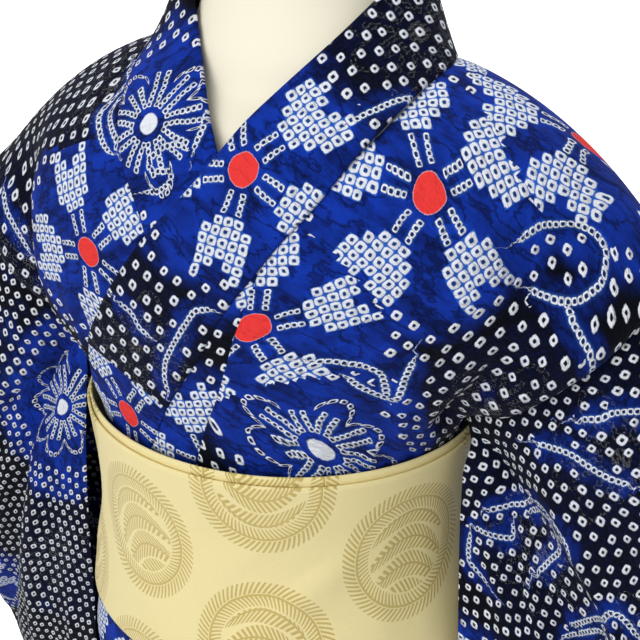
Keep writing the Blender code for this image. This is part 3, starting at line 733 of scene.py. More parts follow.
def scattered_chains(node, cloth):
    """Curling chains beside the scattered flowers of a piece."""
    rng = np.random.default_rng(seed_of(node) + 7)
    hand = [point for _, points in CHAINS.get(node, ()) for point in points]
    chains = []
    for x, y, kind, _ in scattered_flowers(node, cloth):
        start, turn = rng.uniform(0, 2 * math.pi), rng.choice([-1, 1])
        radius, sweep = rng.uniform(.074, .086), rng.uniform(.7, 1.3)
        points = []
        for step in np.linspace(0, 1, 9):
            angle = start + turn * sweep * step
            curl = radius * (1 + .12 * math.sin(7 * step))
            points.append((x + curl * math.cos(angle), y + curl * math.sin(angle)))
        hook = points[-1]
        for step in np.linspace(.2, 1, 5):
            angle = start + turn * (sweep + 3.4 * step)
            curl = .018 * (1 - .5 * step)
            points.append((hook[0] + curl * (math.cos(angle) - math.cos(start + turn * sweep)),
                           hook[1] + curl * (math.sin(angle) - math.sin(start + turn * sweep))))
        clear = all(math.hypot(p[0] - q[0], p[1] - q[1]) > CHAIN_CLEARANCE
                    for p in points for q in hand)
        if clear and kind != RED_FLOWER:
            chains.append((1 + (sweep > 1.1), points))
    return chains


def chain_marks(node, cloth):
    """For each face corner: metres along and beside the nearest chain of dots, and its kind.

    The kind has CLOSE_TAG added on the pieces whose ground has closer dots, and a fraction that gives
    the chain's heading.
    """
    starts, ends, runs, kinds = [], [], [], []
    for kind, points in list(CHAINS.get(node, ())) + scattered_chains(node, cloth):
        rows = np.array([(k, *point) for k, point in enumerate(points)], float)
        path = spline(rows, np.linspace(0, len(points) - 1, 10 * len(points)))
        length = np.concatenate([[0], np.cumsum(np.linalg.norm(np.diff(path, axis=0), axis=1))])
        starts.append(path[:-1])
        ends.append(path[1:])
        runs.append(np.stack([length[:-1], np.full(len(path) - 1, length[-1])], -1))
        kinds.append(np.full(len(path) - 1, kind))
    marks = np.zeros(cloth.shape[:2] + (3,))
    marks[..., 1] = FAR_FROM_CHAIN
    marks[..., 2] = CLOSE_TAG * (node in CLOSE_DOTS)
    if not starts:
        return marks
    start, end = np.concatenate(starts), np.concatenate(ends)
    run, kind = np.concatenate(runs), np.concatenate(kinds)
    centre = cloth.mean(axis=1)
    for block in np.array_split(np.arange(len(cloth)), max(1, len(cloth) // 4000)):
        away = np.linalg.norm(centre[block][:, None] - (start + end)[None] / 2, axis=-1)
        near = away.argmin(axis=1)
        close = away[np.arange(len(block)), near] < CHAIN_REACH
        block, near = block[close], near[close]
        step = (end - start)[near]
        length = np.linalg.norm(step, axis=-1)
        step = step / length[:, None]
        offset = cloth[block] - start[near][:, None]
        ahead = (offset * step[:, None]).sum(-1)
        along = ahead + run[near, 0][:, None]
        beside = offset[..., 0] * step[:, None, 1] - offset[..., 1] * step[:, None, 0]
        overrun = np.maximum(np.maximum(-along, along - run[near, 1][:, None]), 0)
        off_piece = np.maximum(np.maximum(-ahead, ahead - length[:, None]) - .006, 0)
        marks[block, :, 0] = along
        marks[block, :, 1] = beside + np.sign(beside + 1e-9) * (overrun + off_piece)
        heading = np.arctan2(step[:, 1], step[:, 0]) / math.tau % 1 * HEADING_SHARE
        marks[block, :, 2] += (kind[near] + heading)[:, None]
    return marks


def body_strip(side, sizes):
    """One length of cloth from the front waist over the shoulder to the back waist."""
    tau = np.concatenate([np.linspace(-WAIST_TAU, NAPE_TAU, 122),
                          np.linspace(NAPE_TAU + .006, WAIST_TAU, 66)])[:, None]
    edge = strip_start(tau)
    u = edge + (1.0 - edge) * np.linspace(0, 1, STRIP_COLUMNS)
    along, across = TAU_SPAN * tau, U_SPAN * u
    creases = STRIP_CREASES_LEFT if side > 0 else STRIP_CREASES_RIGHT
    out = over_level(tau, side) + crease_relief(across, along, creases) * sizes.crease_strength
    out = out + seam_dip(U_SPAN * (u - edge)) + seam_dip(U_SPAN * (1 - u), .0012, .004)
    spine = (STRIP_THREAD_U - edge[:, 0]) / (1 - edge[:, 0]) * (STRIP_COLUMNS - 1)
    return Shell(torso(side * u, tau, out + OFF_SOLID), sizes.cotton_thickness, flip=side < 0,
                 spine=spine)


def overlap_panel(side, sizes):
    """Upper part of the narrow front panel, from the waist to its tip at the collar."""
    tau = np.linspace(-WAIST_TAU, OVERLAP_TIP_TAU, 62)[:, None]
    start = spline(COLLAR_SEAM, tau)[..., 0] + SEWN_SEAM_U
    end = spline(OVERLAP_SEAM, tau)[..., 0]
    u = start + (end - start) * np.linspace(0, 1, OVERLAP_COLUMNS)
    edge = seam_dip(U_SPAN * (end - u), .0008, .003)
    out = over_level(tau, side) + edge + OFF_SOLID
    return Shell(torso(side * u, tau, out), sizes.cotton_thickness, flip=side < 0,
                 spine=(OVERLAP_COLUMNS - 1) / 2)


def band_row(tau_out, side, w, raised=0.0):
    """Cross rows of the collar band, from its inner edge to its outer seam."""
    tau_out = np.asarray(tau_out, float)[:, None]
    tau_in, u_in, lift_y, lift_z = np.moveaxis(spline(BAND_STATIONS, tau_out), -1, 0)
    u_out = spline(COLLAR_SEAM, tau_out)[..., 0]
    lift = OVER_COLLAR_LIFT * (1 - smooth(tau_out, -.26, -.09)) * (side > 0)
    row = torso(side * (u_out + (u_in - u_out) * w), tau_out + (tau_in - tau_out) * w,
                lift + raised, folds=False)
    row[..., 1] += lift_y * w**1.2
    row[..., 2] += lift_z * w**1.2
    return row


def over_collar(sizes):
    """Over collar in one piece round the neck, a little fuller than the main collar."""
    w = np.linspace(1, 0, COLLAR_COLUMNS)
    tau = np.linspace(OVER_COLLAR_END_TAU, NAPE_TAU, 96)
    fullness = .0010 * np.sin(math.pi * w)**.6
    left, right = [band_row(tau, side, w, fullness) for side, _ in SIDES]
    return Shell(np.concatenate([left, right[-2::-1]]), sizes.over_collar_thickness,
                 spine=(COLLAR_COLUMNS - 1) / 2)


def collar_end(side, sizes):
    """Lower end of the main collar, under the over collar's end."""
    tau = np.linspace(-WAIST_TAU, OVER_COLLAR_END_TAU - .0012, 46)
    return Shell(band_row(tau, side, np.linspace(1, 0, COLLAR_COLUMNS)), sizes.collar_thickness,
                 flip=side < 0, spine=(COLLAR_COLUMNS - 1) / 2)


def sleeve_side(side, s, around, front):
    """Front or back of a sleeve; s is 0 at the armhole and 1 at the cuff."""
    sign = -1.0 if front else 1.0
    tau = sign * ARMHOLE_TAU * np.clip(around / ARMHOLE_AROUND, 0, 1)
    armhole = torso(side, tau, over_level(tau, side) + .0020)
    x, gap, z = np.moveaxis(spline(BODY_EDGE, np.maximum(around, .40)), -1, 0)
    x = x - SLEEVE_LEANS_IN * front * smooth(around, .35, .43)
    hanging = leaned(np.stack([side * x, sign * gap, z], -1))
    share = np.clip((around - ARMHOLE_AROUND) / (.40 - ARMHOLE_AROUND), 0, 1)[..., None]
    start = armhole + (hanging - armhole) * share
    x, swing, gap, z = np.moveaxis(spline(CUFF_EDGE, around), -1, 0)
    gap = np.maximum(gap * (around < CUFF_OPEN_AROUND), .0004)
    cuff = np.stack([side * x, sign * gap, z], -1)
    point = start + (cuff - start) * s[..., None]
    envelope = np.clip(np.sin(math.pi * around), 0, 1)**.8 * np.clip(np.sin(math.pi * s), 0, 1)**.9
    folds = SLEEVE_FRONT_FOLDS if front else SLEEVE_BACK_FOLDS
    relief = fold_relief(s * SLEEVE_WIDTH, around * SLEEVE_DROP, folds)
    point[..., 1] += sign * envelope * (SLEEVE_BELLY + relief) + swing * s**SLEEVE_SWING_POWER
    point[..., 2] -= SLEEVE_SAG * np.sin(math.pi * s) * around
    return point


def sleeve(side, sizes):
    """Flat hanging bag, open towards the body and open at the upper part of the cuff."""
    stations = np.linspace(0, 1, SLEEVE_STATIONS)[:, None]
    down = np.linspace(0, 1, SLEEVE_ROWS)[None]
    grid = np.broadcast_arrays(stations, down)
    front, back = [sleeve_side(side, *grid, is_front) for is_front in (True, False)]
    bottom = (front[:, -1:] + back[:, -1:]) / 2
    for face, creases, sign in ((front, SLEEVE_CREASES_FRONT, -1), (back, SLEEVE_CREASES_BACK, 1)):
        mirror = creases if side > 0 else [(a, b, c, d, .8 * e, f, -g) for a, b, c, d, e, f, g
                                           in creases]
        relief = crease_relief(stations * SLEEVE_WIDTH, down * SLEEVE_DROP, mirror)
        calm = smooth(stations, 0, .06) * (1 - smooth(down, .96, 1.0))
        face[..., 1] += sign * relief * calm * sizes.crease_strength
    ring = np.concatenate([front[:, :-1], bottom, back[:, -2:0:-1]], axis=1)
    if side > 0:
        ring = ring[:, ::-1]
    spine = ring.shape[1] - SLEEVE_THREAD if side > 0 else SLEEVE_THREAD
    return Shell(ring, sizes.cotton_thickness, closed=True, spine=spine)


def skirt_panel(start, end, layer, columns, sizes):
    """Skirt width from the hem to under the waist fold."""
    z = np.linspace(HEM, SKIRT_TOP, 140)[:, None]
    angle = np.linspace(start + HALF_SEAM_ANGLE, end - HALF_SEAM_ANGLE, columns)[None]
    out = {"under": 0 * angle, "over": 0 * angle + OVER_LAYER,
           "back": OVER_LAYER * (1 - smooth(angle, BACK_UNDERLAP_END, BACK_LAYER_END))}[layer]
    calm = 1 - smooth(z, .55, .95)
    pleats = SKIRT_PLEAT_DEPTH * (1 + np.cos(np.radians(angle) * SKIRT_PLEATS)) * calm
    relief = np.maximum(creases_round(angle, z, SKIRT_CREASES, SKIRT_RADIUS), -.0008)
    seam = seam_dip(SKIRT_RADIUS * np.radians(end - angle), .0006) \
        + seam_dip(SKIRT_RADIUS * np.radians(angle - start), .0006)
    out = out + pleats + relief * (1 - smooth(z, .84, .93)) * sizes.crease_strength + seam
    return Shell(waist(angle, z, out), sizes.cotton_thickness)


def waist_rows(angle, rows, out, tilt):
    """Rows of a band round the waist, a little higher on the wearer's left where it is tilted."""
    level = waist(angle, rows, out)
    return waist(angle, level[..., 2] + tilt * level[..., 0], out)


def waist_fold(sizes):
    """Tuck of cloth that hangs out under the obi, with its rounded lower fold."""
    z = np.linspace(FOLD_ROWS[0][0], FOLD_ROWS[-1][0], 34)[:, None]
    angle = np.linspace(-180, 180, 230, endpoint=False)[None]
    out = spline(FOLD_ROWS, z)[..., 0]
    wave = .0007 * np.sin(np.radians(angle) * 7 + 1.2) + .0005 * np.sin(np.radians(angle) * 13)
    out = out + wave * (1 - smooth(z, .92, .99))
    return Shell(waist_rows(angle, z, out, 0.0), sizes.fold_thickness, closed=True)


def obi_out(angle, z, layer):
    """How far a layer of the obi stands off the waist surface."""
    heights, lifts, trims = np.array(OBI_ROWS).T
    side = np.clip(np.sin(np.radians(angle)), 0, 1)**2
    return np.interp(z, heights, lifts) - np.interp(z, heights, trims) * side + layer


def obi_wrap(low, high, layer, sizes):
    """One wrap of the folded obi."""
    z = np.linspace(low, high, 44)[:, None]
    angle = np.linspace(-180, 180, 250, endpoint=False)[None]
    relief = np.clip(creases_round(angle, z, OBI_CREASES, OBI_RADIUS), -.0003, .0016)
    relief = relief * (layer > 0) * sizes.crease_strength
    out = obi_out(angle, z, layer) + relief
    return Shell(waist_rows(angle, z, out, OBI_TILT), sizes.obi_thickness, closed=True)


def knot_leaf(columns, bottom, height, thickness, under):
    """Folded leaf of the flat tie at the back, with a fuller middle."""
    half_angle = columns * 360 / RING_COLUMNS
    angle = np.linspace(180 - half_angle, 180 + half_angle, 14 * columns + 1)[None]
    z = np.linspace(bottom, bottom + height, 40)[:, None]
    out = obi_out(angle, z, under)
    across = (angle - 180) / half_angle
    up = (z - bottom) / height
    wave = .0009 * np.sin(5.0 * across + 2.0 * up + columns) * (1 - across**4)
    crown = thickness * .55 * (1 - across**6) * np.clip(np.sin(math.pi * up), 0, 1)**.3
    low = waist_rows(angle, z, out, OBI_TILT)
    high = waist_rows(angle, z, out + thickness * .35 + crown + wave, OBI_TILT)
    return low, high


def opaque(colour):
    """Colour setting with full alpha, as the sockets need it."""
    return (*colour, 1)


def maths(operation, turned=False):
    """Method that adds a Math node, with its own number last if it is turned."""
    def method(self, *others):
        numbers = [*others, self] if turned else [self, *others]
        return self.look.node("ShaderNodeMath", {"operation": operation}, numbers)
    return method


class Value:
    """Number on its way through a material; arithmetic on it adds Math nodes."""

    def __init__(self, look, socket):
        self.look, self.socket = look, socket

    __add__ = __radd__ = maths('ADD')
    __sub__, __rsub__ = maths('SUBTRACT'), maths('SUBTRACT', True)
    __mul__ = __rmul__ = maths('MULTIPLY')
    __truediv__, __rtruediv__ = maths('DIVIDE'), maths('DIVIDE', True)
    __pow__, __abs__ = maths('POWER'), maths('ABSOLUTE')
    __gt__, __lt__ = maths('GREATER_THAN'), maths('LESS_THAN')
    floor, fract = maths('FLOOR'), maths('FRACT')
    least, most = maths('MINIMUM'), maths('MAXIMUM')
    sine, cosine = maths('SINE'), maths('COSINE')
    root, angle_from = maths('SQRT'), maths('ARCTAN2')

    def rise(self, start, end, low=0.0, high=1.0):
        """Smooth step from 0 at start to 1 at end."""
        return self.look.node("ShaderNodeMapRange", {"interpolation_type": 'SMOOTHSTEP'},
                              [self, start, end, low, high])

    def fall(self, start, end):
        """Smooth step from 1 at start to 0 at end."""
        return self.rise(start, end, 1.0, 0.0)


class Look:
    """Nodes of one material."""

    def __init__(self, name):
        self.material = bpy.data.materials.new(name)
        self.material.use_nodes = True
        self.tree = self.material.node_tree
        self.tree.nodes.clear()

    def node(self, kind, settings=None, inputs=(), output=0):
        """Add a node: its settings first, then the values or links of its sockets."""
        node = self.tree.nodes.new(kind)
        for name, value in (settings or {}).items():
            setattr(node, name, value)
        pairs = inputs.items() if isinstance(inputs, dict) else enumerate(inputs)
        for key, value in pairs:
            if isinstance(value, Value):
                self.tree.links.new(value.socket, node.inputs[key])
            else:
                node.inputs[key].default_value = value
        return Value(self, node.outputs[output]) if node.outputs else None

    def parts(self, vector):
        """The three numbers of a vector or colour."""
        first = self.node("ShaderNodeSeparateXYZ", None, [vector])
        return [Value(self, socket) for socket in first.socket.node.outputs]

    def vector(self, x, y, z=0.0):
        return self.node("ShaderNodeCombineXYZ", None, [x, y, z])

    def cloth(self):
        """Metres across and along the cloth."""
        return self.parts(self.node("ShaderNodeUVMap", {"uv_map": "UVMap"}))[:2]

    def marks(self, name):
        """Stored numbers of the face corners."""
        return self.parts(self.node("ShaderNodeAttribute", {"attribute_name": name},
                                    output="Vector"))

    def noise(self, vector, scale, detail=2.0, roughness=0.5, output="Fac"):
        return self.node("ShaderNodeTexNoise", None,
                         {"Vector": vector, "Scale": scale, "Detail": detail,
                          "Roughness": roughness}, output)

    def chance(self, x, y):
        """Three even random numbers of a lattice cell."""
        return self.parts(self.node("ShaderNodeTexWhiteNoise", {"noise_dimensions": '2D'},
                                    {"Vector": self.vector(x, y)}, "Color"))

    def mix(self, first, second, share):
        """From one colour to another; each is a value or a setting."""
        first, second = [colour if isinstance(colour, Value) else opaque(colour)
                         for colour in (first, second)]
        return self.node("ShaderNodeMix", {"data_type": 'RGBA'}, {0: share, 6: first, 7: second}, 2)

    def hypot(self, x, y):
        return (x * x + y * y).root()

    def finish(self, normal, **inputs):
        """Principled shader with a normal and the given sockets."""
        names = {name.replace("_", " "): value for name, value in inputs.items()}
        shader = self.node("ShaderNodeBsdfPrincipled", None, {**names, "Normal": normal})
        self.node("ShaderNodeOutputMaterial", None, [shader])
        return self.material

    def bump(self, height, distance, strength=1.0, normal=None):
        """Normal from a height between 0 and 1 that stands for so many metres."""
        inputs = {"Height": height, "Distance": distance, "Strength": strength}
        if normal is not None:
            inputs["Normal"] = normal
        return self.node("ShaderNodeBump", None, inputs)


def squircle(x, y, half_x, half_y):
    """0 at the middle of a rounded square and 1 at its edge."""
    x, y = abs(x / half_x), abs(y / half_y)
    return (x**3.2 + y**3.2)**(1 / 3.2)


def shibori_cotton(dye):
    """Indigo cotton tied by hand: rings of white round small blue points, on blue and night."""
    look = Look("shibori_cotton")
    across, along = look.cloth()
    cloth = look.vector(across, along)
    wobble_x, wobble_y, _ = look.parts(look.noise(cloth, 70.0, 1.0, output="Color"))
    wobble_x, wobble_y = (wobble_x - .5) * WOBBLE, (wobble_y - .5) * WOBBLE
    bloom_x, bloom_y, tag = look.marks("flower")
    bloom_x, bloom_y = bloom_x + wobble_x, bloom_y + wobble_y
    kind = (tag / 2).floor()
    is_red, is_white = kind < .5, (kind > .5) * (kind < 1.5)
    radius = look.hypot(bloom_x, bloom_y)
    turn = bloom_y.angle_from(bloom_x) / math.tau + (tag - kind * 2)
    count = is_white * 4 + 5
    sector = (turn * count).fract() - .5
    petal = (turn * count).floor()
    petal = petal - (petal / count).floor() * count
    chance_long, chance_wide, chance_loop = look.chance(petal, (tag * 61).floor())
    petal_along = radius * (sector * math.tau / count).cosine()
    petal_across = radius * (sector * math.tau / count).sine()

    # Petals: blocks of tightly tied squares, each petal with a notch at its tip
    row = ((petal_along - PETAL_START) / dye.petal_pitch).floor()
    column = (petal_across / dye.petal_pitch + .5).floor()
    width = (row * 1.5 + 1.3).least(2.4 + chance_wide * 1.6)
    width = width.least((6.4 + chance_long * 1.6 - row) * 1.4)
    in_petal = (width > abs(column)) * (abs(column) > row - 3.5) * (row > -.5) * is_red
    cell_x = petal_along - PETAL_START - (row + .5) * dye.petal_pitch
    cell_y = petal_across - column * dye.petal_pitch
    petal_ring = squircle(cell_x, cell_y, .47 * dye.petal_pitch, .46 * dye.petal_pitch)
    petal_ring = petal_ring + (1 - in_petal) * NO_RING

    # Short double chains between the red centre and the petals, and the white flowers' spokes
    chain_start = SPOKE_START - is_white * .0010
    step = ((petal_along - chain_start) / SPOKE_PITCH).floor()
    in_chain = (step > -.5) * (step < 3.5 + is_white * chance_long * 3)
    chain_x = petal_along - chain_start - (step + .5) * SPOKE_PITCH
    chain_y = abs(petal_across) - .0034 + is_white * .0012 - petal_along * .05
    spoke_ring = squircle(chain_x, chain_y, SPOKE_HALF, SPOKE_HALF)
    spoke_ring = spoke_ring + (1 - in_chain * (kind < 1.5)) * NO_RING

    # Loops of a single chain round some of the white flowers' spokes
    outline = LOOP_RADIUS + (sector * math.pi).cosine() * LOOP_SWELL
    outline_x = ((turn * LOOP_POINTS).fract() - .5) * radius * (math.tau / LOOP_POINTS)
    no_loop = (1 - is_white * (chance_loop > .42)) * NO_RING
    outline_ring = squircle(outline_x, radius - outline, LINK_HALF, LINK_HALF) + no_loop

    # Curling chains laid between the flowers
    run, side, chain_tag = look.marks("chain")
    close = chain_tag > CLOSE_TAG - .5
    chain_kind = chain_tag - close * CLOSE_TAG
    run, side = run + wobble_x, side + wobble_y * .5
    double = chain_kind > 1.5
    side_of_row = abs(side) * double + side * (1 - double) - double * .0040
    link_x = ((run / dye.chain_pitch).fract() - .5) * dye.chain_pitch
    link_ring = squircle(link_x, side_of_row, .52 * dye.chain_pitch, LINK_HALF)
    link_ring = link_ring + (chain_kind < .5) * NO_RING
    heading = chain_tag.fract() * (math.tau / HEADING_SHARE)

    # Sparse rows of tied points on the night ground
    drift_x, drift_y, _ = look.parts(look.noise(cloth, 9.0, 1.0, output="Color"))
    pitch = (1 - close * .18) * dye.dot_pitch
    rows_y = (along + (drift_y - .5) * .026) / (pitch * DOT_ROW_SHARE)
    dot_row = rows_y.floor()
    rows_x = (across + (drift_x - .5) * .018) / pitch + (dot_row * .5).fract()
    dot_column = rows_x.floor()
    chance_x, chance_y, chance_size = look.chance(dot_column, dot_row)
    dot_x = (rows_x - dot_column - .5 + (chance_x - .5) * DOT_SHIFT) * pitch
    dot_y = (rows_y - dot_row - .5 + (chance_y - .5) * DOT_SHIFT) * pitch * DOT_ROW_SHARE
    half = .0024 + chance_size * .0006 - close * .0003
    reach = is_red * RED_REACH + is_white * WHITE_REACH
    dot_from_chain = abs(side - dot_x * heading.sine() + dot_y * heading.cosine())
    free = (look.hypot(bloom_x - dot_x, bloom_y - dot_y) > reach) \
        * (1 - (dot_from_chain < .0054 + double * .0040) * (chain_kind > .5))
    dot_ring = squircle(dot_x, dot_y, half, half) + (1 - free) * NO_RING

    thin_ring = spoke_ring.least(outline_ring).least(link_ring) * 1.30 - .30
    ring = petal_ring.least(thin_ring).least(dot_ring)
    frayed = look.noise(cloth, 900.0, 2.0)
    ring = ring + (frayed - .5) * .34
    tied = ring.fall(.84, 1.06)
    point = ring.fall(.26, .46)
    white = tied * (1 - point)

    # Ground: cobalt round the flowers and the chains, night beyond, with wisps of each
    wisp = look.noise(look.vector(across * .30, along), 64.0, 6.0, .66)
    cloud = look.noise(cloth, 7.5, 3.0, .6)
    near_flower = (radius + (cloud - .5) * .070).fall(.066, .086) * (kind < 1.5)
    near_chain = (abs(side) + (wisp - .5) * .010).fall(.0055, .0125) * (chain_kind > .5)
    cobalt = near_flower.most(near_chain * .50).most(cloud.rise(.60, .70) * .8)
    mottle = look.noise(cloth, 34.0, 4.0, .62)
    cobalt = cobalt * (1 - wisp.rise(.46, .66) * .62) * (mottle.rise(.34, .62) * .45 + .55)
    vein = look.noise(look.vector(across * .5, along), 52.0, 4.0, .62)
    vein = abs(vein - .5).fall(.006, .034)
    cobalt = cobalt * (1 - vein * .60) + wisp.rise(.60, .80) * .10
    colour = look.mix(dye.night, dye.cobalt, cobalt)
    glow = (petal_ring.fall(1.0, 1.9) * .8).most(link_ring.least(spoke_ring).fall(.9, 1.8) * .40)
    colour = look.mix(colour, dye.pale_blue, glow * (wisp.fall(.35, .75) * .5 + .5))
    colour = look.mix(colour, dye.white, white)
    colour = look.mix(colour, dye.night, point * tied * .62)
    ragged = radius + (frayed - .5) * .0010 + (wobble_x + wobble_y) * .35
    centre = ragged.fall(.0090, .0097) * is_red + ragged.fall(.0058, .0070) * is_white
    colour = look.mix(colour, dye.white, centre)
    colour = look.mix(colour, dye.red, ragged.fall(.0089, .0096) * is_red)

    # Puckers of the tied points, fine crinkles of the washed cloth, and its plain weave
    dome = ring.fall(.0, 1.25)
    crinkle = look.noise(look.vector(across * .6, along), 150.0, 4.0, .62)
    normal = look.bump(crinkle - vein * .10, .0050, .80)
    normal = look.bump(dome, .0011, .85, normal)
    weave = (across * 9000).sine() * (along * 9000).sine()
    normal = look.bump(weave * .5 + .5, .00010, .5, normal)
    sheen = frayed * .10 + .80
    return look.finish(normal, Base_Color=colour, Roughness=sheen, Sheen_Weight=.01,
                       Specular_IOR_Level=.08)


def woven_obi(cloth_colours):
    """Cream damask with staggered roundels: feathered rings round curved fern fronds."""
    look = Look("woven_obi")
    across, along = look.cloth()
    cloth = look.vector(across, along)
    wide, high = cloth_colours.column_spacing, cloth_colours.row_spacing
    columns = across / wide + cloth_colours.column_shift
    column = columns.floor()
    rows = along / high + (column * .5).fract() + cloth_colours.row_shift
    row = rows.floor()
    x, y = (columns - column - .5) * wide, (rows - row - .5) * high * ROUNDEL_HEIGHT_SHARE
    chance_turn, chance_flip, _ = look.chance(column, row)
    radius = look.hypot(x, y)
    turn = y.angle_from(x) / math.tau

    off_ring = radius - ROUNDEL_RADIUS
    far = abs(off_ring) / ROUNDEL_BAND
    stroke = (turn * ROUNDEL_STROKES + abs(off_ring) * 190).fract() - .5
    band = (far < 1) * (.29 - far * .12 - abs(stroke)).rise(-.05, .05)
    band = (band * abs(off_ring).rise(.0003, .0008)).most(abs(off_ring + .0008).fall(.0005, .0009))

    # Curved fern fronds, side by side inside the ring
    lean = chance_turn * 1.2 - .6 + (chance_flip > .5) * math.pi
    bent_x = x * lean.cosine() - y * lean.sine()
    bent_y = x * lean.sine() + y * lean.cosine()
    bowed = bent_y + bent_x * bent_x * 24 - .0090
    frond = (bowed / FROND_SPACING + .5).floor()
    rib = abs(bowed - frond * FROND_SPACING)
    blade = (1 - (bent_x / FROND_HALF_LENGTH)**2).most(0).root() * FROND_HALF_WIDTH
    barb = (bent_x * 300 + rib * 200 + frond * .37).fract() - .5
    leaf = (blade - rib).rise(.0, .0008) * (.26 - abs(barb)).rise(-.05, .05)
    leaf = leaf * rib.rise(.0004, .0009)
    inside = radius.fall(.0285, .0292)
    figure = band.most(leaf * inside).most(rib.fall(.0005, .0009) * inside * (blade > .0008))

    thread = look.noise(look.vector(across * 260, along * 1900), 1.0, 2.0)
    slub = look.noise(cloth, 24.0, 3.0)
    grey = look.noise(look.vector(column * 7.3, row * 5.1), 1.0, 0.0)
    figure_colour = look.mix(cloth_colours.gold, cloth_colours.silver, grey)
    colour = look.mix(cloth_colours.ground, figure_colour, figure * (thread * .30 + .72))
    colour = look.mix(colour, cloth_colours.shade, slub.rise(.45, .75) * .16)
    colour = look.mix(colour, cloth_colours.gold, thread.rise(.50, .80) * .14)

    rib_weave = (along * 7400).sine() * .5 + .5
    normal = look.bump(rib_weave * thread, .00022, .55)
    normal = look.bump(figure, .00035, .60, normal)
    return look.finish(normal, Base_Color=colour, Roughness=.62 - figure * .16,
                       Sheen_Weight=.10, Specular_IOR_Level=.40)


def form_surface(colours):
    """Smooth cream shell of the dress form, with the faint unevenness of its moulding."""
    look = Look("form_surface")
    place = look.node("ShaderNodeTexCoord", None, output="Object")
    tone = look.noise(place, 9.0, 3.0)
    fine = look.noise(place, 600.0, 2.0)
    colour = look.mix(colours.form, colours.form_shade, tone.rise(.45, .75) * .4)
    normal = look.bump(fine, .00006, .30)
    return look.finish(normal, Base_Color=colour, Roughness=fine * .10 + .46,
                       Specular_IOR_Level=.25)


def brushed_pole(colours):
    """Round steel bar, brushed along its length."""
    look = Look("brushed_pole")
    x, y, z = look.parts(look.node("ShaderNodeTexCoord", None, output="Object"))
    brush = look.noise(look.vector(x * 900, y * 900, z * 14), 1.0, 3.0)
    normal = look.bump(brush, .00006, .40)
    return look.finish(normal, Base_Color=opaque(colours.steel), Metallic=1.0,
                       Roughness=brush * .18 + .24)


def painted_base(colours):
    """Powder paint of the round base, a little worn at its rim."""
    look = Look("painted_base")
    place = look.node("ShaderNodeTexCoord", None, output="Object")
    x, y, _ = look.parts(place)
    grain = look.noise(place, 1400.0, 2.0)
    worn = look.hypot(x, y).rise(.163, .170) * look.noise(place, 60.0, 4.0).rise(.48, .62)
    colour = look.mix(colours.base, colours.steel, worn * .35)
    normal = look.bump(grain, .00012, .45)
    return look.finish(normal, Base_Color=colour, Roughness=grain * .15 + .38)


def stage_paper(light):
    """Plain matt paper of the floor and the backdrop."""
    look = Look("stage_paper")
    place = look.node("ShaderNodeTexCoord", None, output="Object")
    grain = look.noise(place, 300.0, 2.0)
    normal = look.bump(grain, .0001, .10)
    return look.finish(normal, Base_Color=opaque(light.paper), Roughness=.92,
                       Emission_Color=(1.0, 1.0, 1.0, 1.0), Emission_Strength=light.paper_glow)


def ready(make, settings):
    """Material by its maker, made once."""
    name = make.__name__
    return bpy.data.materials.get(name) or make(settings)


def aimed(context, name, data, place):
    """Object in the scene that looks from its place at the camera's target."""
    stand = bpy.data.objects.new(name, data)
    stand.location = place
    aim = Vector(CAMERA_TARGET) - Vector(place)
    stand.rotation_euler = aim.to_track_quat('-Z', 'Y').to_euler()
    context.scene.collection.objects.link(stand)
    return stand


def amount(name, text, default, **limits):
    return FloatProperty(name=name, description=text, default=default, min=0.0, **limits)


def metres(name, text, default):
    return amount(name, text, default, max=1.0, subtype='DISTANCE', unit='LENGTH', precision=5)


def tint(name, text, default):
    return FloatVectorProperty(name=name, description=text, default=default, min=0.0, max=1.0,
                               size=3, subtype='COLOR')


class YukataSizes(bpy.types.PropertyGroup):
    """Cloth thicknesses of the robe."""

    cotton_thickness: metres("Cotton", "Thickness of the body and the sleeves", .0011)
    over_collar_thickness: metres("Over collar", "Thickness of the over collar", .0029)
    collar_thickness: metres("Main collar", "Thickness of the main collar's ends", .0022)
    fold_thickness: metres("Waist fold", "Thickness of the doubled waist fold", .0026)
    obi_thickness: metres("Obi", "Thickness of one wrap of the folded obi", .0020)
    crease_strength: amount("Creases", "How strongly the creases show", 1.0, max=1.5,
                            subtype='FACTOR')


class YukataDye(bpy.types.PropertyGroup):
    """Colours and spacing of the tied pattern."""

    cobalt: tint("Cobalt", "Bright blue round the flowers", (.0040, .0360, .3900))
    night: tint("Night", "Blue-black of the ground", (.0004, .0010, .0048))
    pale_blue: tint("Pale blue", "Blue that creeps in between tight points", (.0260, .1500, .6200))
    white: tint("White", "Undyed rings", (.800, .830, .900))
    red: tint("Red", "Flower centres", (.850, .0450, .0420))
    petal_pitch: metres("Petal points", "Distance between tied points in a petal", .0064)
    chain_pitch: metres("Chain points", "Distance between the points of a chain", .0038)
    dot_pitch: metres("Sparse points", "Distance between points on the ground", .0118)


class YukataObi(bpy.types.PropertyGroup):
    """Colours and spacing of the woven obi."""

    ground: tint("Ground", "Cream ground", (.860, .740, .360))
    gold: tint("Gold", "Golden strokes", (.500, .360, .060))
    silver: tint("Silver", "Greyer strokes", (.500, .380, .100))
    shade: tint("Shade", "Slightly darker cream", (.760, .630, .290))
    column_spacing: metres("Columns", "Distance between columns of roundels", .0960)
    row_spacing: metres("Rows", "Distance between roundels in a column", .1250)
    column_shift: amount("Column shift", "Share of a column", .979, subtype='FACTOR')
    row_shift: amount("Row shift", "Share of a row", .736, subtype='FACTOR')


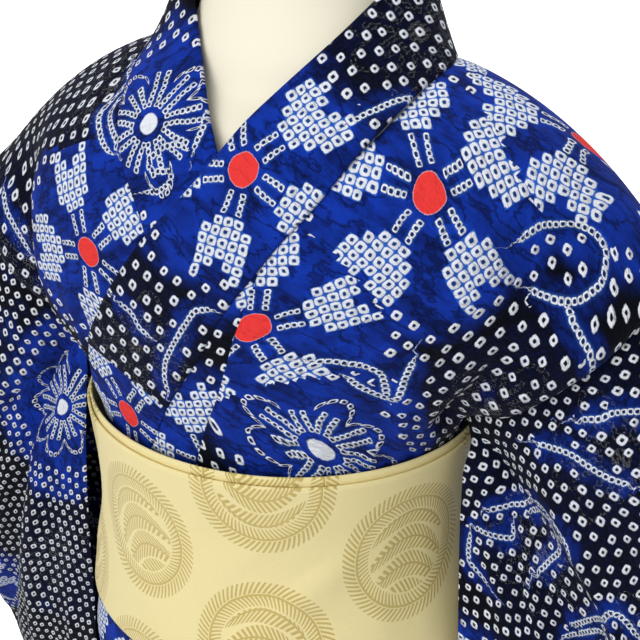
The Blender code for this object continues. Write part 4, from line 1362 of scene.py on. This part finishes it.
class YukataForm(bpy.types.PropertyGroup):
    """Colours of the dress form and its stand."""

    form: tint("Form", "Cream of the dress form", (.950, .830, .350))
    form_shade: tint("Form shade", "Slightly warmer cream", (.930, .800, .320))
    steel: tint("Pole", "Steel of the pole", (.560, .560, .570))
    base: tint("Base", "Paint of the base", (.780, .770, .740))
    voxel: metres("Voxel", "Cell of the form's smoothed surface", .004)


class YukataLight(bpy.types.PropertyGroup):
    """Stage and light."""

    paper: tint("Paper", "Floor and backdrop", (.900, .900, .900))
    paper_glow: amount("Paper glow", "Even light of the paper", 1.0)
    key: amount("Key", "Power of the main light", 38.0, unit='POWER')
    fill: amount("Fill", "Power of the fill light", 30.0, unit='POWER')
    sky: amount("Sky", "Strength of the even light", .35)
    focal_length: FloatProperty(
        name="Lens", description="Focal length", min=10.0, subtype='DISTANCE_CAMERA',
        default=FOCAL_PIXELS / PICTURE_PIXELS * SENSOR_WIDTH)


class YukataSettings(bpy.types.PropertyGroup):
    """All settings of the robe."""

    sizes: PointerProperty(type=YukataSizes)
    dye: PointerProperty(type=YukataDye)
    obi: PointerProperty(type=YukataObi)
    form: PointerProperty(type=YukataForm)
    light: PointerProperty(type=YukataLight)


class YUKATA_OT_body(bpy.types.Operator):
    """Make the two body strips and the two overlap panels"""

    bl_idname = "yukata.body"
    bl_label = "Body"

    def execute(self, context):
        yukata = context.scene.yukata
        look = ready(shibori_cotton, yukata.dye)
        for side, word in SIDES:
            body_strip(side, yukata.sizes).piece("body_" + word, "indigo_cotton", look)
            overlap_panel(side, yukata.sizes).piece("overlap_" + word, "indigo_cotton", look)
        return {'FINISHED'}


class YUKATA_OT_collar(bpy.types.Operator):
    """Make the over collar and the two lower ends of the main collar"""

    bl_idname = "yukata.collar"
    bl_label = "Collar"

    def execute(self, context):
        yukata = context.scene.yukata
        look = ready(shibori_cotton, yukata.dye)
        over_collar(yukata.sizes).piece("over_collar", "indigo_cotton", look)
        for side, word in SIDES:
            collar_end(side, yukata.sizes).piece(f"collar_{word}_end", "indigo_cotton", look)
        return {'FINISHED'}


class YUKATA_OT_sleeves(bpy.types.Operator):
    """Make the two hanging sleeves"""

    bl_idname = "yukata.sleeves"
    bl_label = "Sleeves"

    def execute(self, context):
        yukata = context.scene.yukata
        look = ready(shibori_cotton, yukata.dye)
        for side, word in SIDES:
            sleeve(side, yukata.sizes).piece("sleeve_" + word, "indigo_cotton", look)
        return {'FINISHED'}


class YUKATA_OT_skirt(bpy.types.Operator):
    """Make the six skirt widths and the fold at the waist"""

    bl_idname = "yukata.skirt"
    bl_label = "Skirt"

    def execute(self, context):
        yukata = context.scene.yukata
        look = ready(shibori_cotton, yukata.dye)
        for name, start, end, layer, columns in SKIRT_PANELS:
            panel = skirt_panel(start, end, layer, columns, yukata.sizes)
            panel.piece(name, "indigo_cotton", look)
        waist_fold(yukata.sizes).piece("waist_fold", "indigo_cotton", look)
        return {'FINISHED'}


class YUKATA_OT_obi(bpy.types.Operator):
    """Make the obi's two wraps and its flat tie at the back"""

    bl_idname = "yukata.obi"
    bl_label = "Obi"

    def execute(self, context):
        yukata = context.scene.yukata
        look = ready(woven_obi, yukata.obi)
        low, high = OBI_ROWS[0][0], OBI_ROWS[-1][0]
        wrap = OBI_CLOTH + OBI_WRAP_GAP
        obi_wrap(low, high, 0.0, yukata.sizes).piece("obi_inner_wrap", "obi_cloth", look)
        outer = obi_wrap(low - OBI_STEP, high - OBI_STEP, wrap, yukata.sizes)
        outer.piece("obi_outer_wrap", "obi_cloth", look)
        under = 2 * wrap
        for name, columns, bottom, height, thickness in KNOT_LEAVES:
            inner, outer = knot_leaf(columns, bottom, height, thickness, under)
            Shell(inner, thickness, outer=outer).piece(name, "obi_cloth", look)
            under += thickness + OBI_WRAP_GAP
        return {'FINISHED'}


class YUKATA_OT_form(bpy.types.Operator):
    """Make the dress form's smooth surface and finish its pole and base"""

    bl_idname = "yukata.form"
    bl_label = "Dress form"

    def execute(self, context):
        colours = context.scene.yukata.form
        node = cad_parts["dress_form"]
        piece = bpy.data.objects.new("dress_form_shell", node.data.copy())
        context.scene.collection.objects.link(piece)
        remesh = piece.modifiers.new("cells", 'REMESH')
        remesh.mode = 'VOXEL'
        remesh.voxel_size = colours.voxel
        remesh.use_smooth_shade = True
        ease = piece.modifiers.new("ease", 'SMOOTH')
        ease.factor = .5
        ease.iterations = 12
        smoothed = bpy.data.meshes.new_from_object(
            piece.evaluated_get(context.evaluated_depsgraph_get()))
        piece.modifiers.clear()
        piece.data = smoothed
        smoothed.shade_smooth()
        smoothed.materials.clear()
        smoothed.materials.append(ready(form_surface, colours))
        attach(piece, "root")
        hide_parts("dress_form")
        for name, make in (("stand_pole", brushed_pole), ("stand_base", painted_base)):
            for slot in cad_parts[name].material_slots:
                slot.material = ready(make, colours)
        return {'FINISHED'}


class YUKATA_OT_stage(bpy.types.Operator):
    """Make the pale floor with its backdrop, the lights and the camera"""

    bl_idname = "yukata.stage"
    bl_label = "Stage"

    def execute(self, context):
        light = context.scene.yukata.light
        self.paper(context, light)
        self.lights(context, light)
        self.camera(context, light)
        return {'FINISHED'}

    def paper(self, context, light):
        """Floor that curves up behind into a backdrop."""
        profile = [(FLOOR_FRONT, 0.0), (FLOOR_BACK, 0.0)]
        profile += [(FLOOR_BACK + BEND_RADIUS * math.sin(a), BEND_RADIUS - BEND_RADIUS * math.cos(a))
                    for a in np.radians(np.arange(10, 91, 10))]
        profile.append((FLOOR_BACK + BEND_RADIUS, PAPER_TOP))
        vertices = [(x, y, z) for y, z in profile for x in (-PAPER_HALF_WIDTH, PAPER_HALF_WIDTH)]
        faces = [(2 * k, 2 * k + 1, 2 * k + 3, 2 * k + 2) for k in range(len(profile) - 1)]
        mesh = bpy.data.meshes.new("stage_floor")
        mesh.from_pydata(vertices, [], faces)
        mesh.transform(Matrix.Rotation(math.radians(CAMERA_AZIMUTH), 4, 'Z'))
        mesh.shade_smooth()
        mesh.materials.append(ready(stage_paper, light))
        floor = bpy.data.objects.new("stage_floor", mesh)
        context.scene.collection.objects.link(floor)
        floor.visible_diffuse = False

    def lights(self, context, light):
        """Even sky, a wide key light from one side, and weaker ones from the front and the top."""
        world = bpy.data.worlds.new("studio")
        world.use_nodes = True
        background = world.node_tree.nodes["Background"]
        background.inputs["Color"].default_value = (1.0, 1.0, 1.0, 1.0)
        background.inputs["Strength"].default_value = light.sky
        context.scene.world = world
        context.scene.view_settings.view_transform = 'Standard'
        for name, place, size, setting in LAMPS:
            lamp = bpy.data.lights.new(name, 'AREA')
            lamp.energy = getattr(light, setting)
            lamp.size = size
            aimed(context, name, lamp, place)

    def camera(self, context, light):
        """Camera at the photograph's angle."""
        lens = bpy.data.cameras.new("camera")
        lens.lens = light.focal_length
        lens.sensor_width = SENSOR_WIDTH
        lens.sensor_height = SENSOR_WIDTH
        lens.sensor_fit = 'HORIZONTAL'
        lens.clip_start = .02
        lens.clip_end = 60.0
        context.scene.camera = aimed(context, "camera", lens, CAMERA_PLACE)


class YUKATA_PT_panel(bpy.types.Panel):
    """Settings and pieces of the robe"""

    bl_idname = "YUKATA_PT_panel"
    bl_label = "Shibori yukata"
    bl_space_type = 'VIEW_3D'
    bl_region_type = 'UI'
    bl_category = "Yukata"

    def draw(self, context):
        yukata = context.scene.yukata
        for group in (yukata.sizes, yukata.dye, yukata.obi, yukata.form, yukata.light):
            box = self.layout.box()
            for name in group.bl_rna.properties.keys():
                if name not in {"rna_type", "name"}:
                    box.prop(group, name)
        for operator in OPERATORS:
            self.layout.operator(operator.bl_idname)


OPERATORS = (YUKATA_OT_stage, YUKATA_OT_form, YUKATA_OT_body, YUKATA_OT_collar, YUKATA_OT_sleeves,
             YUKATA_OT_skirt, YUKATA_OT_obi)
CLASSES = (YukataSizes, YukataDye, YukataObi, YukataForm, YukataLight, YukataSettings, *OPERATORS,
           YUKATA_PT_panel)


def register():
    for group in CLASSES:
        bpy.utils.register_class(group)
    bpy.types.Scene.yukata = PointerProperty(type=YukataSettings)


def unregister():
    del bpy.types.Scene.yukata
    for group in reversed(CLASSES):
        bpy.utils.unregister_class(group)


def main():
    register()
    bpy.ops.yukata.stage()
    bpy.ops.yukata.form()
    bpy.ops.yukata.body()
    bpy.ops.yukata.collar()
    bpy.ops.yukata.sleeves()
    bpy.ops.yukata.skirt()
    bpy.ops.yukata.obi()


if __name__ == "__main__":
    main()
